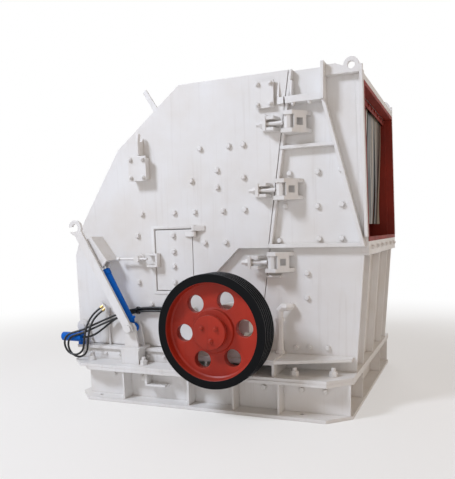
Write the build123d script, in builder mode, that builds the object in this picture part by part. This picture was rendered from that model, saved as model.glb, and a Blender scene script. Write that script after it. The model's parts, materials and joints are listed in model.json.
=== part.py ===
from build123d import *
from math import hypot, radians, tan
import os

os.makedirs("parts", exist_ok=True)

# Impact crusher, millimetres. +X is the feed end, -Y the pulley side, +Z up.
# The origin is the middle of the outer four anchor holes, on the underside of the base.

# Walls
plate = 20
wall_outer = 840
wall_recess = 50
parting_gap = 6
pin_fit = 0.05
wall_inner = wall_outer - wall_recess
wall_inside = wall_inner - plate

# Base frame
base_rear_x = -1140
base_feed_x = 1272
base_corner = 165
base_height = 286
flange_plate = 25
flange_step = 15
web_plate = 16
web_offset = 160
web_overhang = 150
web_rear_x = -1050
web_feed_x = 1165
web_half_width = wall_outer + web_offset
base_half_width = web_half_width + web_overhang
side_rib_x = (-632, -24, 365, 736)
side_rib_margin = 30
end_rib_y = 470
anchor_x = 900
anchor_edge = 95
anchor_y = base_half_width - anchor_edge
anchor_hole_d = 34
discharge_rear_x = -1020
discharge_feed_x = 1135
discharge_half_width = wall_inner - 10
jack_x = -345
jack_length = 190
jack_reach = 90
jack_height = 116

# Lower housing
lower_rear_x = -1225
lower_side_rear_x = -1185
lower_front_foot_x = 1262
lower_front_top_x = 1318
end_wall_recess = 60
end_wall_rib_y = 500
ledge_top = 430
ledge_plate = 25
ledge_reach = 90
ledge_half_width = wall_outer + ledge_reach
ledge_rib_x = (-1180, -760, -430)
ledge_rib_margin = 20
ledge_tip_half_width = wall_outer + 28
ledge_tip_x = 1240
pedestal_half_length = 395
pedestal_top = 440
pedestal_plate = 40
pedestal_rib_x = 170
pedestal_margin = 10
mouth_sill = 1335
feed_face_foot_z = mouth_sill - 130
flange_line = feed_face_foot_z + 65
flange_line_bar = 30
lower_rib_z = flange_line - 230
drain_x = 675
drain_r = 28
drain_hole_x = 753
drain_z = 810
drain_y = wall_outer + 20

# Seam between the feed housing and the rear housing
seam_foot_x = 523
seam_foot_z = 860
seam_slope = 0.138
seam_bar = 22

# Feed housing
roof_top = 2575
feed_face_foot_x = 1350
feed_face_top_x = 1300
feed_face_top_z = roof_top - 75
feed_frame_depth = 60
feed_lip = 22
feed_lip_foot_z = mouth_sill + 5
mouth_head = feed_face_top_z - 75
mouth_clear = 5
mouth_half_width = wall_inside - mouth_clear
bar_x = 1035
chute_drop = 5
chute_plate = 30
chute_run = 330
chute_fall = 145
chute_side = 20
liner_start = 60
stiffener_z = roof_top - 240
stiffener_tall = 50
stiffener_reach = 30
stiffener_rear_run = 72
brace_z = 2010
lug_x = 1221
lug_z = feed_face_top_z + 52
lug_r = 56
lug_thick = 25
lug_hole_r = 26
lug_flange = 16

# Rotor, bearings and pulley
shaft_x = 305
shaft_z = 682
shaft_r = 100
shaft_gap_r = 150
rotor_r = 520
bar_tip_r = 590
bar_thick = 70
bar_deep = 190
rotor_half_length = 740
disc_thick = 50
disc_count = 4
disc_sides = 36
bore_sides = 20
sleeve_r = 160
bar_count = 4
bearing_length = 210
bearing_clear = 30
bearing_y = wall_outer + bearing_clear + bearing_length / 2
pedestal_half_width = bearing_y + bearing_length / 2 + bearing_clear
bearing_r = 165
pulley_r = 428
pulley_clear = 70
pulley_back = pedestal_half_width + pulley_clear
stub_start = pedestal_half_width + 5
pulley_width = 200
pulley_rim = 46
pulley_bore_r = 80
groove_count = 5
groove_deep = 18
belt_land = 10
web_thick = 60
web_set_back = 75
hub_set_back = 12
cap_r = 128
cap_proud = 18
web_hole_count = 6
web_hole_r = 58
web_hole_sides = 24
cap_sides = 36
web_hole_pitch_r = 235
hub_r = 150

# Rear housing outline, from the roof down to the hinge
roof_bend = (-151, roof_top)
slope_bend = (-749, 2113)
back_bend = (-1140, 1525)
back_head = (-1252, 1228)
back_foot_z = 600
hinge_x = -1205
hinge_z = 585
hinge_pin_r = 30
hinge_ear_r = 62

# Opening cylinder and safety strut, one pair each side
foot_x = -605
foot_z = 615
head_x = -900
head_z = 1180
cylinder_y = ledge_half_width + 25
cylinder_length = 560
barrel_r = 34
barrel_bore_r = 26
barrel_cap = 30
rod_r = 18
eye_half = 22
foot_pin_r = 25
strut_thick = 24
strut_clear = 21
strut_wide = 76
strut_head_x = -1082
strut_head_z = 1471
hook_r = 64
ear_thick = 18
ear_gap = 14
ear_r = 47
strut_y = cylinder_y + eye_half + ear_gap + ear_thick + strut_clear + strut_thick / 2

# Inspection door
door_left = -425
door_right = -70
door_bottom = 920
door_top = 1438
door_pin_x = -46
door_pin_y = wall_outer + 26
door_pin_r = 11

# Accumulator
accumulator_x = -1340
accumulator_length = 205
accumulator_y = ledge_half_width + 42
accumulator_z = 508
accumulator_r = 40

# Door latch and roof pieces
latch_x = -573
latch_z = 1196
latch_handle = 280
latch_handle_reach = 180
lever_foot_x = -382
bow_x = -300

# Seam clamps and apron pivots
clamp_z = (2193, 1709, 1161)
clamp_bolt_y = wall_outer + 55
clamp_reach = 40
clamp_bolt_r = 16
upper_pivot = (580, roof_top - 159)
lower_pivot = (-522, 1940)
pivot_r = 45
pivot_plate_tall = 100
upper_plate_half = 74
lower_plate_half = 84
upper_plate_reach = 34
lower_plate_reach = 80
cover_plate = 14
upper_apron_foot = (120, 1440)
upper_apron_sag = 90
lower_apron_foot = (-420, 980)
lower_apron_sag = -60
apron_thick = 90


def keep(part, label):
    part.label = label
    export_step(part, f"parts/{label}.step")
    return part


def seam_x(z):
    return seam_foot_x + seam_slope * (z - seam_foot_z)


def slab(outline, outer, inner):
    # a plate on the near side, between two distances from the middle plane
    with BuildPart() as made:
        with BuildSketch(Plane.XZ.offset(inner)):
            with BuildLine():
                Polyline(*outline, close=True)
            make_face()
        extrude(amount=outer - inner)
    return made.part


def across(outline, half_width):
    # a plate that runs across the machine, the same to both sides
    with BuildPart() as made:
        with BuildSketch(Plane.XZ):
            with BuildLine():
                Polyline(*outline, close=True)
            make_face()
        extrude(amount=half_width, both=True)
    return made.part


def rod_y(x, z, radius, outer, inner):
    # a round bar across the near side, between two distances from the middle plane
    with BuildPart() as made:
        with BuildSketch(Plane.XZ.offset(inner)):
            with Locations((x, z)):
                Circle(radius)
        extrude(amount=outer - inner)
    return made.part


def boss_y(x, z, radius, outer, inner, sides=12):
    # a turned boss or pin, drawn with flats
    with BuildPart() as made:
        with BuildSketch(Plane.XZ.offset(inner)):
            with Locations((x, z)):
                RegularPolygon(radius=radius, side_count=sides)
        extrude(amount=outer - inner)
    return made.part


def bore_y(x, z, radius, outer, inner, sides=16):
    # the hole for a turned pin, with its flats outside the pin's circle
    with BuildPart() as made:
        with BuildSketch(Plane.XZ.offset(inner)):
            with Locations((x, z)):
                RegularPolygon(radius=radius, side_count=sides, major_radius=False)
        extrude(amount=outer - inner)
    return made.part


def shelf(outline, low, height):
    # a level plate on the near side, from an outline of (x, distance from the middle plane)
    with BuildPart() as made:
        with BuildSketch(Plane.XY.offset(low)):
            with BuildLine():
                Polyline(*[(x, -y) for x, y in outline], close=True)
            make_face()
        extrude(amount=height)
    return made.part


def cross_plate(x, thick, outline):
    # an upright plate across the near side, from an outline of (distance from the middle plane, z)
    with BuildPart() as made:
        with BuildSketch(Plane.YZ.offset(x)):
            with BuildLine():
                Polyline(*[(-y, z) for y, z in outline], close=True)
            make_face()
        extrude(amount=thick)
    return made.part


def mirrored(part):
    with BuildPart() as twin:
        mirror(part, about=Plane.XZ)
    return twin.part


def both_sides(part):
    with BuildPart() as pair:
        add(part)
        mirror(part, about=Plane.XZ)
    return pair.part


lower_flange_top = base_height + flange_plate

def diagonal_x(z):
    return bar_x + (feed_face_foot_x - bar_x) * (stiffener_z - z) / (stiffener_z - feed_face_foot_z)


def feed_face_x(z):
    share = (z - feed_face_foot_z) / (feed_face_top_z - feed_face_foot_z)
    return feed_face_foot_x + share * (feed_face_top_x - feed_face_foot_x)


def feed_edge_x(z):
    return feed_face_x(z) - feed_frame_depth


# Base frame
def flange_ring(z, rear_x, half_width, holes):
    with BuildPart() as ring:
        with BuildSketch(Plane.XY.offset(z)) as flat:
            with Locations(((rear_x + base_feed_x) / 2, 0)):
                Rectangle(base_feed_x - rear_x, 2 * half_width)
            chamfer(flat.vertices(), base_corner)
            with Locations(((discharge_rear_x + discharge_feed_x) / 2, 0)):
                opening = discharge_feed_x - discharge_rear_x
                Rectangle(opening, 2 * discharge_half_width, mode=Mode.SUBTRACT)
            if holes:
                with GridLocations(2 * anchor_x, 2 * anchor_y, 2, 2):
                    Circle(anchor_hole_d / 2, mode=Mode.SUBTRACT)
        extrude(amount=flange_plate)
    return ring.part


def base_side():
    rib_reach = base_half_width - side_rib_margin
    height = base_height - 2 * flange_plate
    with BuildPart() as side:
        with BuildSketch(Plane.XY.offset(flange_plate)):
            with Locations(((web_rear_x + base_feed_x - flange_step) / 2, -web_half_width + web_plate / 2)):
                Rectangle(base_feed_x - flange_step - web_rear_x, web_plate)
            with Locations(*[(x, -(rib_reach + web_half_width) / 2) for x in side_rib_x]):
                Rectangle(web_plate, rib_reach - web_half_width)
        extrude(amount=height)
        # jacking block under the top flange, open towards the side
        low = base_height - flange_plate - jack_height
        for z in (low, base_height - flange_plate - web_plate):
            with BuildSketch(Plane.XY.offset(z)):
                with Locations((jack_x, -web_half_width - jack_reach / 2)):
                    Rectangle(jack_length, jack_reach)
            extrude(amount=web_plate)
        with BuildSketch(Plane.XY.offset(low)):
            with Locations((jack_x - jack_length / 2 + 10, -web_half_width - jack_reach / 2)):
                Rectangle(plate, jack_reach)
        extrude(amount=jack_height)
        with BuildSketch(Plane.YZ.offset(jack_x - jack_length / 2 - 40)):
            with Locations((-web_half_width - jack_reach / 2, low + jack_height / 2)):
                RegularPolygon(radius=34, side_count=12)
        extrude(amount=40)
    return side.part


def base_end(web_x, outward):
    # the web stands inside the flange edge, and two ribs run out to the edge
    edge_x = base_feed_x - flange_step if outward > 0 else base_rear_x + flange_step
    with BuildPart() as end:
        with BuildSketch(Plane.XY.offset(flange_plate)):
            with Locations((web_x - outward * web_plate / 2, 0)):
                Rectangle(web_plate, 2 * (web_half_width - web_plate))
            with Locations(*[((web_x + edge_x) / 2, y) for y in (-end_rib_y, end_rib_y)]):
                Rectangle(abs(edge_x - web_x), web_plate)
        extrude(amount=base_height - 2 * flange_plate)
    return end.part


keep(flange_ring(0, base_rear_x, base_half_width, True), "base_bottom_flange")
keep(flange_ring(base_height - flange_plate, base_rear_x, base_half_width - flange_step, False), "base_top_flange")
keep(base_side(), "base_side_near")
keep(mirrored(base_side()), "base_side_far")
with BuildPart() as base_ends:
    add(base_end(web_feed_x, 1))
    add(base_end(web_rear_x, -1))
keep(base_ends.part, "base_ends")
keep(flange_ring(base_height, lower_rear_x, base_half_width - flange_step - 5, False), "lower_flange")


# Lower housing
def lower_front_x(z):
    lean = (lower_front_top_x - lower_front_foot_x) / (flange_line - lower_flange_top)
    return lower_front_foot_x + lean * (z - lower_flange_top)


def lower_side():
    with BuildPart() as side:
        add(slab([
            (lower_side_rear_x, lower_flange_top), (lower_front_foot_x, lower_flange_top),
            (lower_front_x(feed_face_foot_z), feed_face_foot_z), (feed_edge_x(feed_face_foot_z), feed_face_foot_z),
            (feed_edge_x(flange_line), flange_line), (seam_x(flange_line) + parting_gap, flange_line),
            (seam_foot_x + parting_gap, seam_foot_z), (shaft_x + parting_gap, shaft_z),
            (105, shaft_z), (75, ledge_top), (lower_side_rear_x, ledge_top),
        ], wall_inner, wall_inside))
        add(bore_y(shaft_x, shaft_z, shaft_gap_r, wall_outer, wall_inside - 1, 24), mode=Mode.SUBTRACT)
        rib_x = seam_x(lower_rib_z) + parting_gap + 4
        add(shelf([(rib_x, wall_inner), (rib_x, wall_outer - 10), (rib_x + 20, wall_outer + 10),
                   (rib_x + 120, wall_outer + 10), (rib_x + 120, wall_inner)], lower_rib_z, 16))
    return side.part


def lower_end_feed():
    top_z = feed_face_foot_z
    top_x = lower_front_x(top_z)
    foot = (lower_front_foot_x - end_wall_recess, lower_flange_top)
    head = (top_x - end_wall_recess, top_z)
    with BuildPart() as end:
        add(across([(foot[0] - plate, foot[1]), foot, head, (head[0] - plate, head[1])], wall_inside))
        for y in (-end_wall_rib_y, 0, end_wall_rib_y):
            with BuildSketch(Plane.XZ.offset(-y - plate / 2)):
                with BuildLine():
                    Polyline(foot, (lower_front_foot_x, foot[1]), (top_x, top_z), head, close=True)
                make_face()
            extrude(amount=plate)
    return end.part


def lower_end_rear():
    rear = hinge_x - 10
    return across([(rear, lower_flange_top), (rear + plate, lower_flange_top),
                   (rear + plate, back_foot_z - 45), (rear, back_foot_z - 45)], wall_inside)


def ledge():
    pedestal_rear = shaft_x - pedestal_half_length
    pedestal_feed = shaft_x + pedestal_half_length
    with BuildPart() as made:
        add(shelf([(lower_rear_x, wall_inner), (lower_rear_x, ledge_half_width),
                   (pedestal_rear, ledge_half_width), (pedestal_rear, wall_inner)],
                  ledge_top - ledge_plate, ledge_plate))
        add(shelf([(pedestal_feed, wall_inner), (pedestal_feed, pedestal_half_width - pedestal_margin),
                   (ledge_tip_x, ledge_tip_half_width), (ledge_tip_x, wall_inner)],
                  ledge_top - ledge_plate, ledge_plate))
        add(shelf([(pedestal_rear, wall_inner), (pedestal_rear, pedestal_half_width),
                   (pedestal_feed, pedestal_half_width), (pedestal_feed, wall_inner)],
                  pedestal_top - pedestal_plate, pedestal_plate))
        for x in (pedestal_rear + plate / 2, shaft_x - pedestal_rib_x, shaft_x + pedestal_rib_x,
                  pedestal_feed - plate / 2):
            add(shelf([(x - plate / 2, wall_inner), (x - plate / 2, pedestal_half_width - pedestal_margin),
                       (x + plate / 2, pedestal_half_width - pedestal_margin), (x + plate / 2, wall_inner)],
                      lower_flange_top, pedestal_top - pedestal_plate - lower_flange_top))
        for x in ledge_rib_x:
            add(shelf([(x - plate / 2, wall_inner), (x - plate / 2, ledge_half_width - ledge_rib_margin),
                       (x + plate / 2, ledge_half_width - ledge_rib_margin), (x + plate / 2, wall_inner)],
                      lower_flange_top, ledge_top - ledge_plate - lower_flange_top))
    return made.part


keep(lower_side(), "lower_side_near")
keep(mirrored(lower_side()), "lower_side_far")
keep(lower_end_feed(), "lower_end_feed")
keep(lower_end_rear(), "lower_end_rear")
keep(ledge(), "ledge_near")
keep(mirrored(ledge()), "ledge_far")


# Bearing housing, split at the shaft's height
def bearing():
    half = bearing_length / 2
    foot_half = 240
    with BuildPart() as made:
        with BuildSketch(Plane.XZ.offset(bearing_y - half)):
            with BuildLine():
                Polyline((shaft_x - foot_half, pedestal_top), (shaft_x + foot_half, pedestal_top),
                         (shaft_x + foot_half, pedestal_top + 60), (shaft_x + bearing_r, shaft_z - 90),
                         (shaft_x - bearing_r, shaft_z - 90), (shaft_x - foot_half, pedestal_top + 60),
                         close=True)
            make_face()
            with Locations((shaft_x, shaft_z)):
                RegularPolygon(radius=bearing_r, side_count=24)
                Rectangle(2 * bearing_r + 60, 90)
                RegularPolygon(radius=shaft_r + pin_fit, side_count=bore_sides, major_radius=False,
                               mode=Mode.SUBTRACT)
        extrude(amount=bearing_length)
    return made.part


keep(both_sides(bearing()), "bearings")


# Drain pipe from the lower housing's wall down to the pedestal, one on each side
def drain_pipe():
    bend = 26
    path = [(drain_x, -drain_y, pedestal_top), (drain_x, -drain_y, drain_z - bend),
            (drain_x + bend, -drain_y, drain_z), (drain_hole_x - bend, -drain_y, drain_z),
            (drain_hole_x, -drain_y + bend, drain_z), (drain_hole_x, -wall_inner, drain_z)]
    with BuildPart() as made:
        with BuildLine() as line:
            Polyline(*path)
        with BuildSketch(Plane.XY.offset(pedestal_top)):
            with Locations((drain_x, -drain_y)):
                RegularPolygon(radius=drain_r, side_count=8)
        sweep(path=line.wires()[0], transition=Transition.RIGHT)
        for low in (pedestal_top, drain_z - 110):
            with BuildSketch(Plane.XY.offset(low)):
                with Locations((drain_x, -drain_y)):
                    RegularPolygon(radius=drain_r + 9, side_count=8)
            extrude(amount=26)
    return made.part


keep(both_sides(drain_pipe()), "drain_pipes")


# Feed housing
def feed_side():
    seam_top = seam_x(roof_top) + parting_gap
    seam_low = seam_x(flange_line) + parting_gap
    with BuildPart() as side:
        add(slab([(seam_low, flange_line), (feed_edge_x(flange_line), flange_line),
                  (feed_edge_x(feed_face_top_z), feed_face_top_z), (bar_x, feed_face_top_z),
                  (bar_x, roof_top), (seam_top, roof_top)], wall_inner, wall_inside))
        add(slab([(seam_low, flange_line), (seam_low + seam_bar, flange_line),
                  (seam_top + seam_bar, roof_top), (seam_top, roof_top)], wall_outer, wall_inner))
        bar_top = flange_line + flange_line_bar
        add(slab([(seam_low, flange_line), (diagonal_x(flange_line), flange_line),
                  (diagonal_x(bar_top), bar_top), (seam_low, bar_top)], wall_outer + 8, wall_inner))
        add(slab([(bar_x - 22, stiffener_z), (bar_x, stiffener_z), (bar_x, roof_top + 17),
                  (bar_x - 22, roof_top + 17)], wall_outer + stiffener_reach + 25, wall_inner))
        add(slab([(diagonal_x(flange_line) - 26, flange_line), (diagonal_x(flange_line), flange_line),
                  (bar_x, stiffener_z), (bar_x - 24, stiffener_z)], wall_outer + 24, wall_inner))
        add(slab([(seam_x(brace_z) + parting_gap, brace_z), (diagonal_x(brace_z) - 20, brace_z),
                  (diagonal_x(brace_z + 25) - 20, brace_z + 25),
                  (seam_x(brace_z + 25) + parting_gap, brace_z + 25)], wall_outer + 6, wall_inner))
        shelf_x = seam_x(stiffener_z + stiffener_tall) + parting_gap
        reach = wall_outer + stiffener_reach
        add(shelf([(shelf_x, wall_inner), (shelf_x, reach - 6), (shelf_x + 45, reach), (bar_x, reach),
                   (bar_x, wall_inner)], stiffener_z, stiffener_tall))
        add(cross_plate(shelf_x + 34, web_plate, [
            (wall_inner, stiffener_z + stiffener_tall), (reach - 12, stiffener_z + stiffener_tall),
            (reach - 12, stiffener_z + stiffener_tall + 30), (wall_outer, roof_top - 76),
            (wall_inner, roof_top - 76)]))
        add(slab([(bar_x, feed_face_top_z), (feed_face_top_x, feed_face_top_z), (feed_face_top_x, lug_z),
                  (lug_x + lug_r, lug_z), (lug_x - lug_r, lug_z), (lug_x - lug_r - 60, roof_top),
                  (bar_x, roof_top)], wall_outer, wall_outer - lug_thick))
        add(slab([(bar_x, feed_face_top_z), (feed_face_top_x, feed_face_top_z),
                  (feed_face_top_x, feed_face_top_z + lug_flange), (bar_x, feed_face_top_z + lug_flange)],
                 wall_outer - lug_thick, wall_inside))
        add(rod_y(lug_x, lug_z, lug_r, wall_outer, wall_outer - lug_thick))
        add(rod_y(lug_x, lug_z, lug_hole_r, wall_outer + 1, wall_outer - lug_thick - 1), mode=Mode.SUBTRACT)
    return side.part


def feed_roof():
    high = feed_face_top_z
    low = high - plate
    start = seam_x(high) + parting_gap
    return across([(start, low), (feed_edge_x(low), low), (feed_edge_x(high), high), (start, high)],
                  wall_inside)


def feed_frame():
    with BuildPart() as frame:
        add(across([(feed_face_foot_x - feed_frame_depth, feed_face_foot_z), (feed_face_foot_x, feed_face_foot_z),
                    (feed_face_top_x, feed_face_top_z), (feed_face_top_x - feed_frame_depth, feed_face_top_z)],
                   wall_inner))
        add(across([(feed_face_x(feed_lip_foot_z) - feed_lip, feed_lip_foot_z),
                    (feed_face_x(feed_lip_foot_z), feed_lip_foot_z),
                    (feed_face_top_x, feed_face_top_z), (feed_face_top_x - feed_lip, feed_face_top_z)],
                   wall_outer))
        near_x = feed_face_top_x - 2 * feed_frame_depth
        far_x = feed_face_foot_x + feed_frame_depth
        add(across([(near_x, mouth_sill), (far_x, mouth_sill), (far_x, mouth_head), (near_x, mouth_head)],
                   mouth_half_width), mode=Mode.SUBTRACT)
    return frame.part


def chute_floor():
    high = mouth_sill - chute_drop
    low_x = feed_edge_x(mouth_sill) - chute_run
    return across([(feed_edge_x(high - chute_plate), high - chute_plate), (feed_edge_x(high), high),
                   (low_x, high - chute_fall), (low_x, high - chute_fall - chute_plate)],
                  mouth_half_width - chute_side)


def chute_liner():
    low = feed_face_foot_z + liner_start
    high = feed_face_top_z - plate
    return slab([(bar_x - liner_start, low + 40), (feed_edge_x(low), low), (feed_edge_x(high), high),
                 (bar_x - liner_start, high)], wall_inside, mouth_half_width - chute_side)


keep(feed_side(), "feed_side_near")
keep(mirrored(feed_side()), "feed_side_far")
keep(feed_roof(), "feed_roof")
keep(feed_frame(), "feed_frame")
with BuildPart() as feed_chute:
    add(chute_floor())
    add(both_sides(chute_liner()))
keep(feed_chute.part, "feed_chute")


# Curtain strips, hung from a bar behind the mouth
curtain_x = 1205
curtain_thick = 12
curtain_count = 4
curtain_margin = 55
curtain_gap = 25
curtain_pitch = 2 * (mouth_half_width - curtain_margin) / curtain_count
curtain_width = curtain_pitch - curtain_gap
curtain_bar_tall = 50
curtain_bar_deep = 60
curtain_top = feed_face_top_z - plate - curtain_bar_tall - parting_gap
curtain_lift = 105
curtain_foot = mouth_sill + curtain_lift


def curtain_bar():
    with BuildPart() as made:
        with BuildSketch(Plane.XZ):
            with Locations((curtain_x, curtain_top + curtain_bar_tall / 2)):
                Rectangle(curtain_bar_deep, curtain_bar_tall)
        extrude(amount=mouth_half_width - chute_side, both=True)
    return made.part


def curtain_strip(index):
    y = (index - (curtain_count - 1) / 2) * curtain_pitch
    with BuildPart() as made:
        with BuildSketch(Plane.XY.offset(curtain_foot)):
            with Locations((curtain_x, y)):
                Rectangle(curtain_thick, curtain_width)
        extrude(amount=curtain_top - curtain_foot)
    return made.part


keep(curtain_bar(), "curtain_bar")
for index in range(curtain_count):
    keep(curtain_strip(index), f"curtain_strip_{index + 1}")


# Rotor
def shaft():
    with BuildPart() as made:
        with BuildSketch(Plane.XZ.offset(-stub_start)):
            with Locations((shaft_x, shaft_z)):
                Circle(shaft_r)
        extrude(amount=2 * stub_start)
        with BuildSketch(Plane.XZ.offset(stub_start)):
            with Locations((shaft_x, shaft_z)):
                Circle(pulley_bore_r)
        extrude(amount=pulley_back + pulley_width - plate - stub_start)
    return made.part


def rotor_discs():
    # slotted discs with a spacing sleeve between each two
    pitch = (2 * rotor_half_length - disc_thick) / (disc_count - 1)
    solids = []
    for index in range(disc_count):
        start = -rotor_half_length + index * pitch
        with BuildPart() as disc:
            with BuildSketch(Plane.XZ.offset(start)):
                with Locations((shaft_x, shaft_z)):
                    RegularPolygon(radius=rotor_r, side_count=disc_sides)
                    with PolarLocations(bar_tip_r - bar_deep / 2, bar_count, start_angle=45):
                        Rectangle(bar_deep, bar_thick, mode=Mode.SUBTRACT)
                    RegularPolygon(radius=shaft_r, side_count=bore_sides, major_radius=False,
                                   mode=Mode.SUBTRACT)
            extrude(amount=disc_thick)
        solids.append(disc.part)
        if index < disc_count - 1:
            with BuildPart() as sleeve:
                with BuildSketch(Plane.XZ.offset(start + disc_thick)):
                    with Locations((shaft_x, shaft_z)):
                        RegularPolygon(radius=sleeve_r, side_count=bore_sides)
                        RegularPolygon(radius=shaft_r, side_count=bore_sides, major_radius=False,
                                       mode=Mode.SUBTRACT)
                extrude(amount=pitch - disc_thick)
            solids.append(sleeve.part)
    return Compound(children=solids)


def blow_bars():
    with BuildPart() as made:
        with BuildSketch(Plane.XZ.offset(-rotor_half_length)):
            with Locations((shaft_x, shaft_z)):
                with PolarLocations(bar_tip_r - bar_deep / 2, bar_count, start_angle=45):
                    Rectangle(bar_deep, bar_thick)
        extrude(amount=2 * rotor_half_length)
    return made.part


keep(shaft(), "rotor_shaft")
keep(rotor_discs(), "rotor_discs")
keep(blow_bars(), "blow_bars")


# Pulley: a grooved rim, revolved about the shaft, on a web with a hub
pulley_axis = Axis((shaft_x, 0, shaft_z), (0, 1, 0))
pulley_face = -(pulley_back + pulley_width)


def pulley_rim_ring():
    # points are (distance from the shaft, y)
    pitch = (pulley_width - 2 * belt_land) / groove_count
    points = [(pulley_r - pulley_rim, pulley_face), (pulley_r, pulley_face),
              (pulley_r, pulley_face + belt_land)]
    for index in range(groove_count):
        start = pulley_face + belt_land + index * pitch
        points += [(pulley_r - groove_deep, start + pitch / 2), (pulley_r, start + pitch)]
    points += [(pulley_r, -pulley_back), (pulley_r - pulley_rim, -pulley_back)]
    with BuildPart() as made:
        with BuildSketch(Plane(origin=(shaft_x, 0, shaft_z), x_dir=(0, 0, 1), z_dir=(1, 0, 0))):
            with BuildLine():
                Polyline(*[(radius, -y) for radius, y in points], close=True)
            make_face()
        revolve(axis=pulley_axis)
    return made.part


def pulley_web():
    inner = pulley_r - pulley_rim
    web_y = pulley_face + web_set_back
    with BuildPart() as made:
        with BuildSketch(Plane.XZ.offset(-web_y - web_thick)):
            with Locations((shaft_x, shaft_z)):
                Circle(inner)
                with PolarLocations(web_hole_pitch_r, web_hole_count, start_angle=12):
                    RegularPolygon(radius=web_hole_r, side_count=web_hole_sides, mode=Mode.SUBTRACT)
        extrude(amount=web_thick)
        hub_length = pulley_width - hub_set_back
        add(boss_y(shaft_x, shaft_z, hub_r, pulley_back + hub_length, pulley_back, cap_sides))
        add(bore_y(shaft_x, shaft_z, pulley_bore_r, pulley_back + hub_length, pulley_back), mode=Mode.SUBTRACT)
    return made.part


keep(pulley_rim_ring(), "pulley_rim")
keep(pulley_web(), "pulley_web")
keep(boss_y(shaft_x, shaft_z, cap_r, cap_proud - pulley_face, -pulley_face - hub_set_back, cap_sides),
     "hub_cap")


# Rear housing
rear_seam_top = (seam_x(roof_top), roof_top)
rear_outline = [rear_seam_top, roof_bend, slope_bend, back_bend, back_head, (back_head[0], back_foot_z),
                (-1150, ledge_top + parting_gap), (-102, ledge_top + parting_gap),
                (-102, pedestal_top + parting_gap), (60, pedestal_top + parting_gap)]


def rear_side():
    step_top = (311, flange_line)
    step_foot = (130, flange_line - 172)
    step_low = flange_line - 240
    with BuildPart() as side:
        # outer skin, cut off along the step behind the pulley
        add(slab([*rear_outline, (60, step_low), step_foot, step_top, (seam_x(flange_line), flange_line)],
                 wall_outer, wall_outer - plate))
        # recessed panel between the step and the seam, over the shaft
        foot_z = pedestal_top + parting_gap
        add(slab([step_top, (seam_x(flange_line), flange_line), (seam_foot_x, seam_foot_z),
                  (shaft_x, shaft_z + parting_gap), (90, shaft_z + parting_gap), (60, foot_z), (0, foot_z),
                  (0, step_low - 30), step_foot], wall_inner, wall_inside))
        add(slab([step_top, (step_top[0] + 20, flange_line), (step_foot[0] + 20, step_foot[1]),
                  (60, step_low - 20), (60, foot_z), (40, foot_z), (40, step_low), step_foot],
                 wall_outer, wall_inside))
        add(slab([(seam_x(flange_line) - seam_bar, flange_line), (seam_x(flange_line), flange_line),
                  rear_seam_top, (rear_seam_top[0] - seam_bar, roof_top)], wall_outer, wall_inside))
        add(boss_y(hinge_x, hinge_z, hinge_ear_r, wall_outer, wall_outer - plate))
        splice = seam_x(stiffener_z)
        reach = wall_outer + stiffener_reach
        start = splice - stiffener_rear_run
        add(shelf([(start, wall_inside), (start, wall_outer), (start + 26, reach - 14), (splice, reach - 6),
                   (splice, wall_inside)], stiffener_z, stiffener_tall))
        add(cross_plate(splice - 50, web_plate, [
            (wall_inside, stiffener_z + stiffener_tall), (reach - 14, stiffener_z + stiffener_tall),
            (reach - 14, stiffener_z + stiffener_tall + 30), (wall_outer, roof_top - 76),
            (wall_inside, roof_top - 76)]))
        add(bore_y(hinge_x, hinge_z, hinge_pin_r + pin_fit, wall_outer + 1, wall_inside - 1),
            mode=Mode.SUBTRACT)
        add(bore_y(shaft_x, shaft_z, shaft_gap_r, wall_outer + 1, wall_inside - 1, 24), mode=Mode.SUBTRACT)
        add(slab([(door_left, door_bottom), (door_right, door_bottom), (door_right, door_top),
                  (door_left, door_top)], wall_outer + 1, wall_inside), mode=Mode.SUBTRACT)
        for hinge_low in (door_bottom + 70, door_top - 20):
            add(door_knuckle(hinge_low, 40, True))
    return side.part


def door_knuckle(low, height, on_wall):
    # a block round the hinge pin; the wall's block carries the pin, the door's has the bore
    reach = door_pin_x + 90 if on_wall else door_pin_x - 90
    step_x = door_pin_x + 40 if on_wall else door_right - 12
    clear = 0.5 if on_wall else parting_gap
    with BuildPart() as made:
        with BuildSketch(Plane.XY.offset(low)):
            with Locations((door_pin_x, -door_pin_y)):
                RegularPolygon(radius=door_pin_r + 9, side_count=12)
            with BuildLine():
                Polyline((door_pin_x, -door_pin_y - door_pin_r - 9), (reach, -wall_outer - 8),
                         (reach, -wall_outer), (step_x, -wall_outer), (step_x, -wall_outer - clear),
                         (door_pin_x, -wall_outer - clear), close=True)
            make_face()
            if not on_wall:
                with Locations((door_pin_x, -door_pin_y)):
                    RegularPolygon(radius=door_pin_r + pin_fit, side_count=12, major_radius=False,
                                   mode=Mode.SUBTRACT)
        extrude(amount=height)
        if on_wall:
            with BuildSketch(Plane.XY.offset(low)):
                with Locations((door_pin_x, -door_pin_y)):
                    RegularPolygon(radius=door_pin_r, side_count=12)
            extrude(amount=-45)
    return made.part


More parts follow.
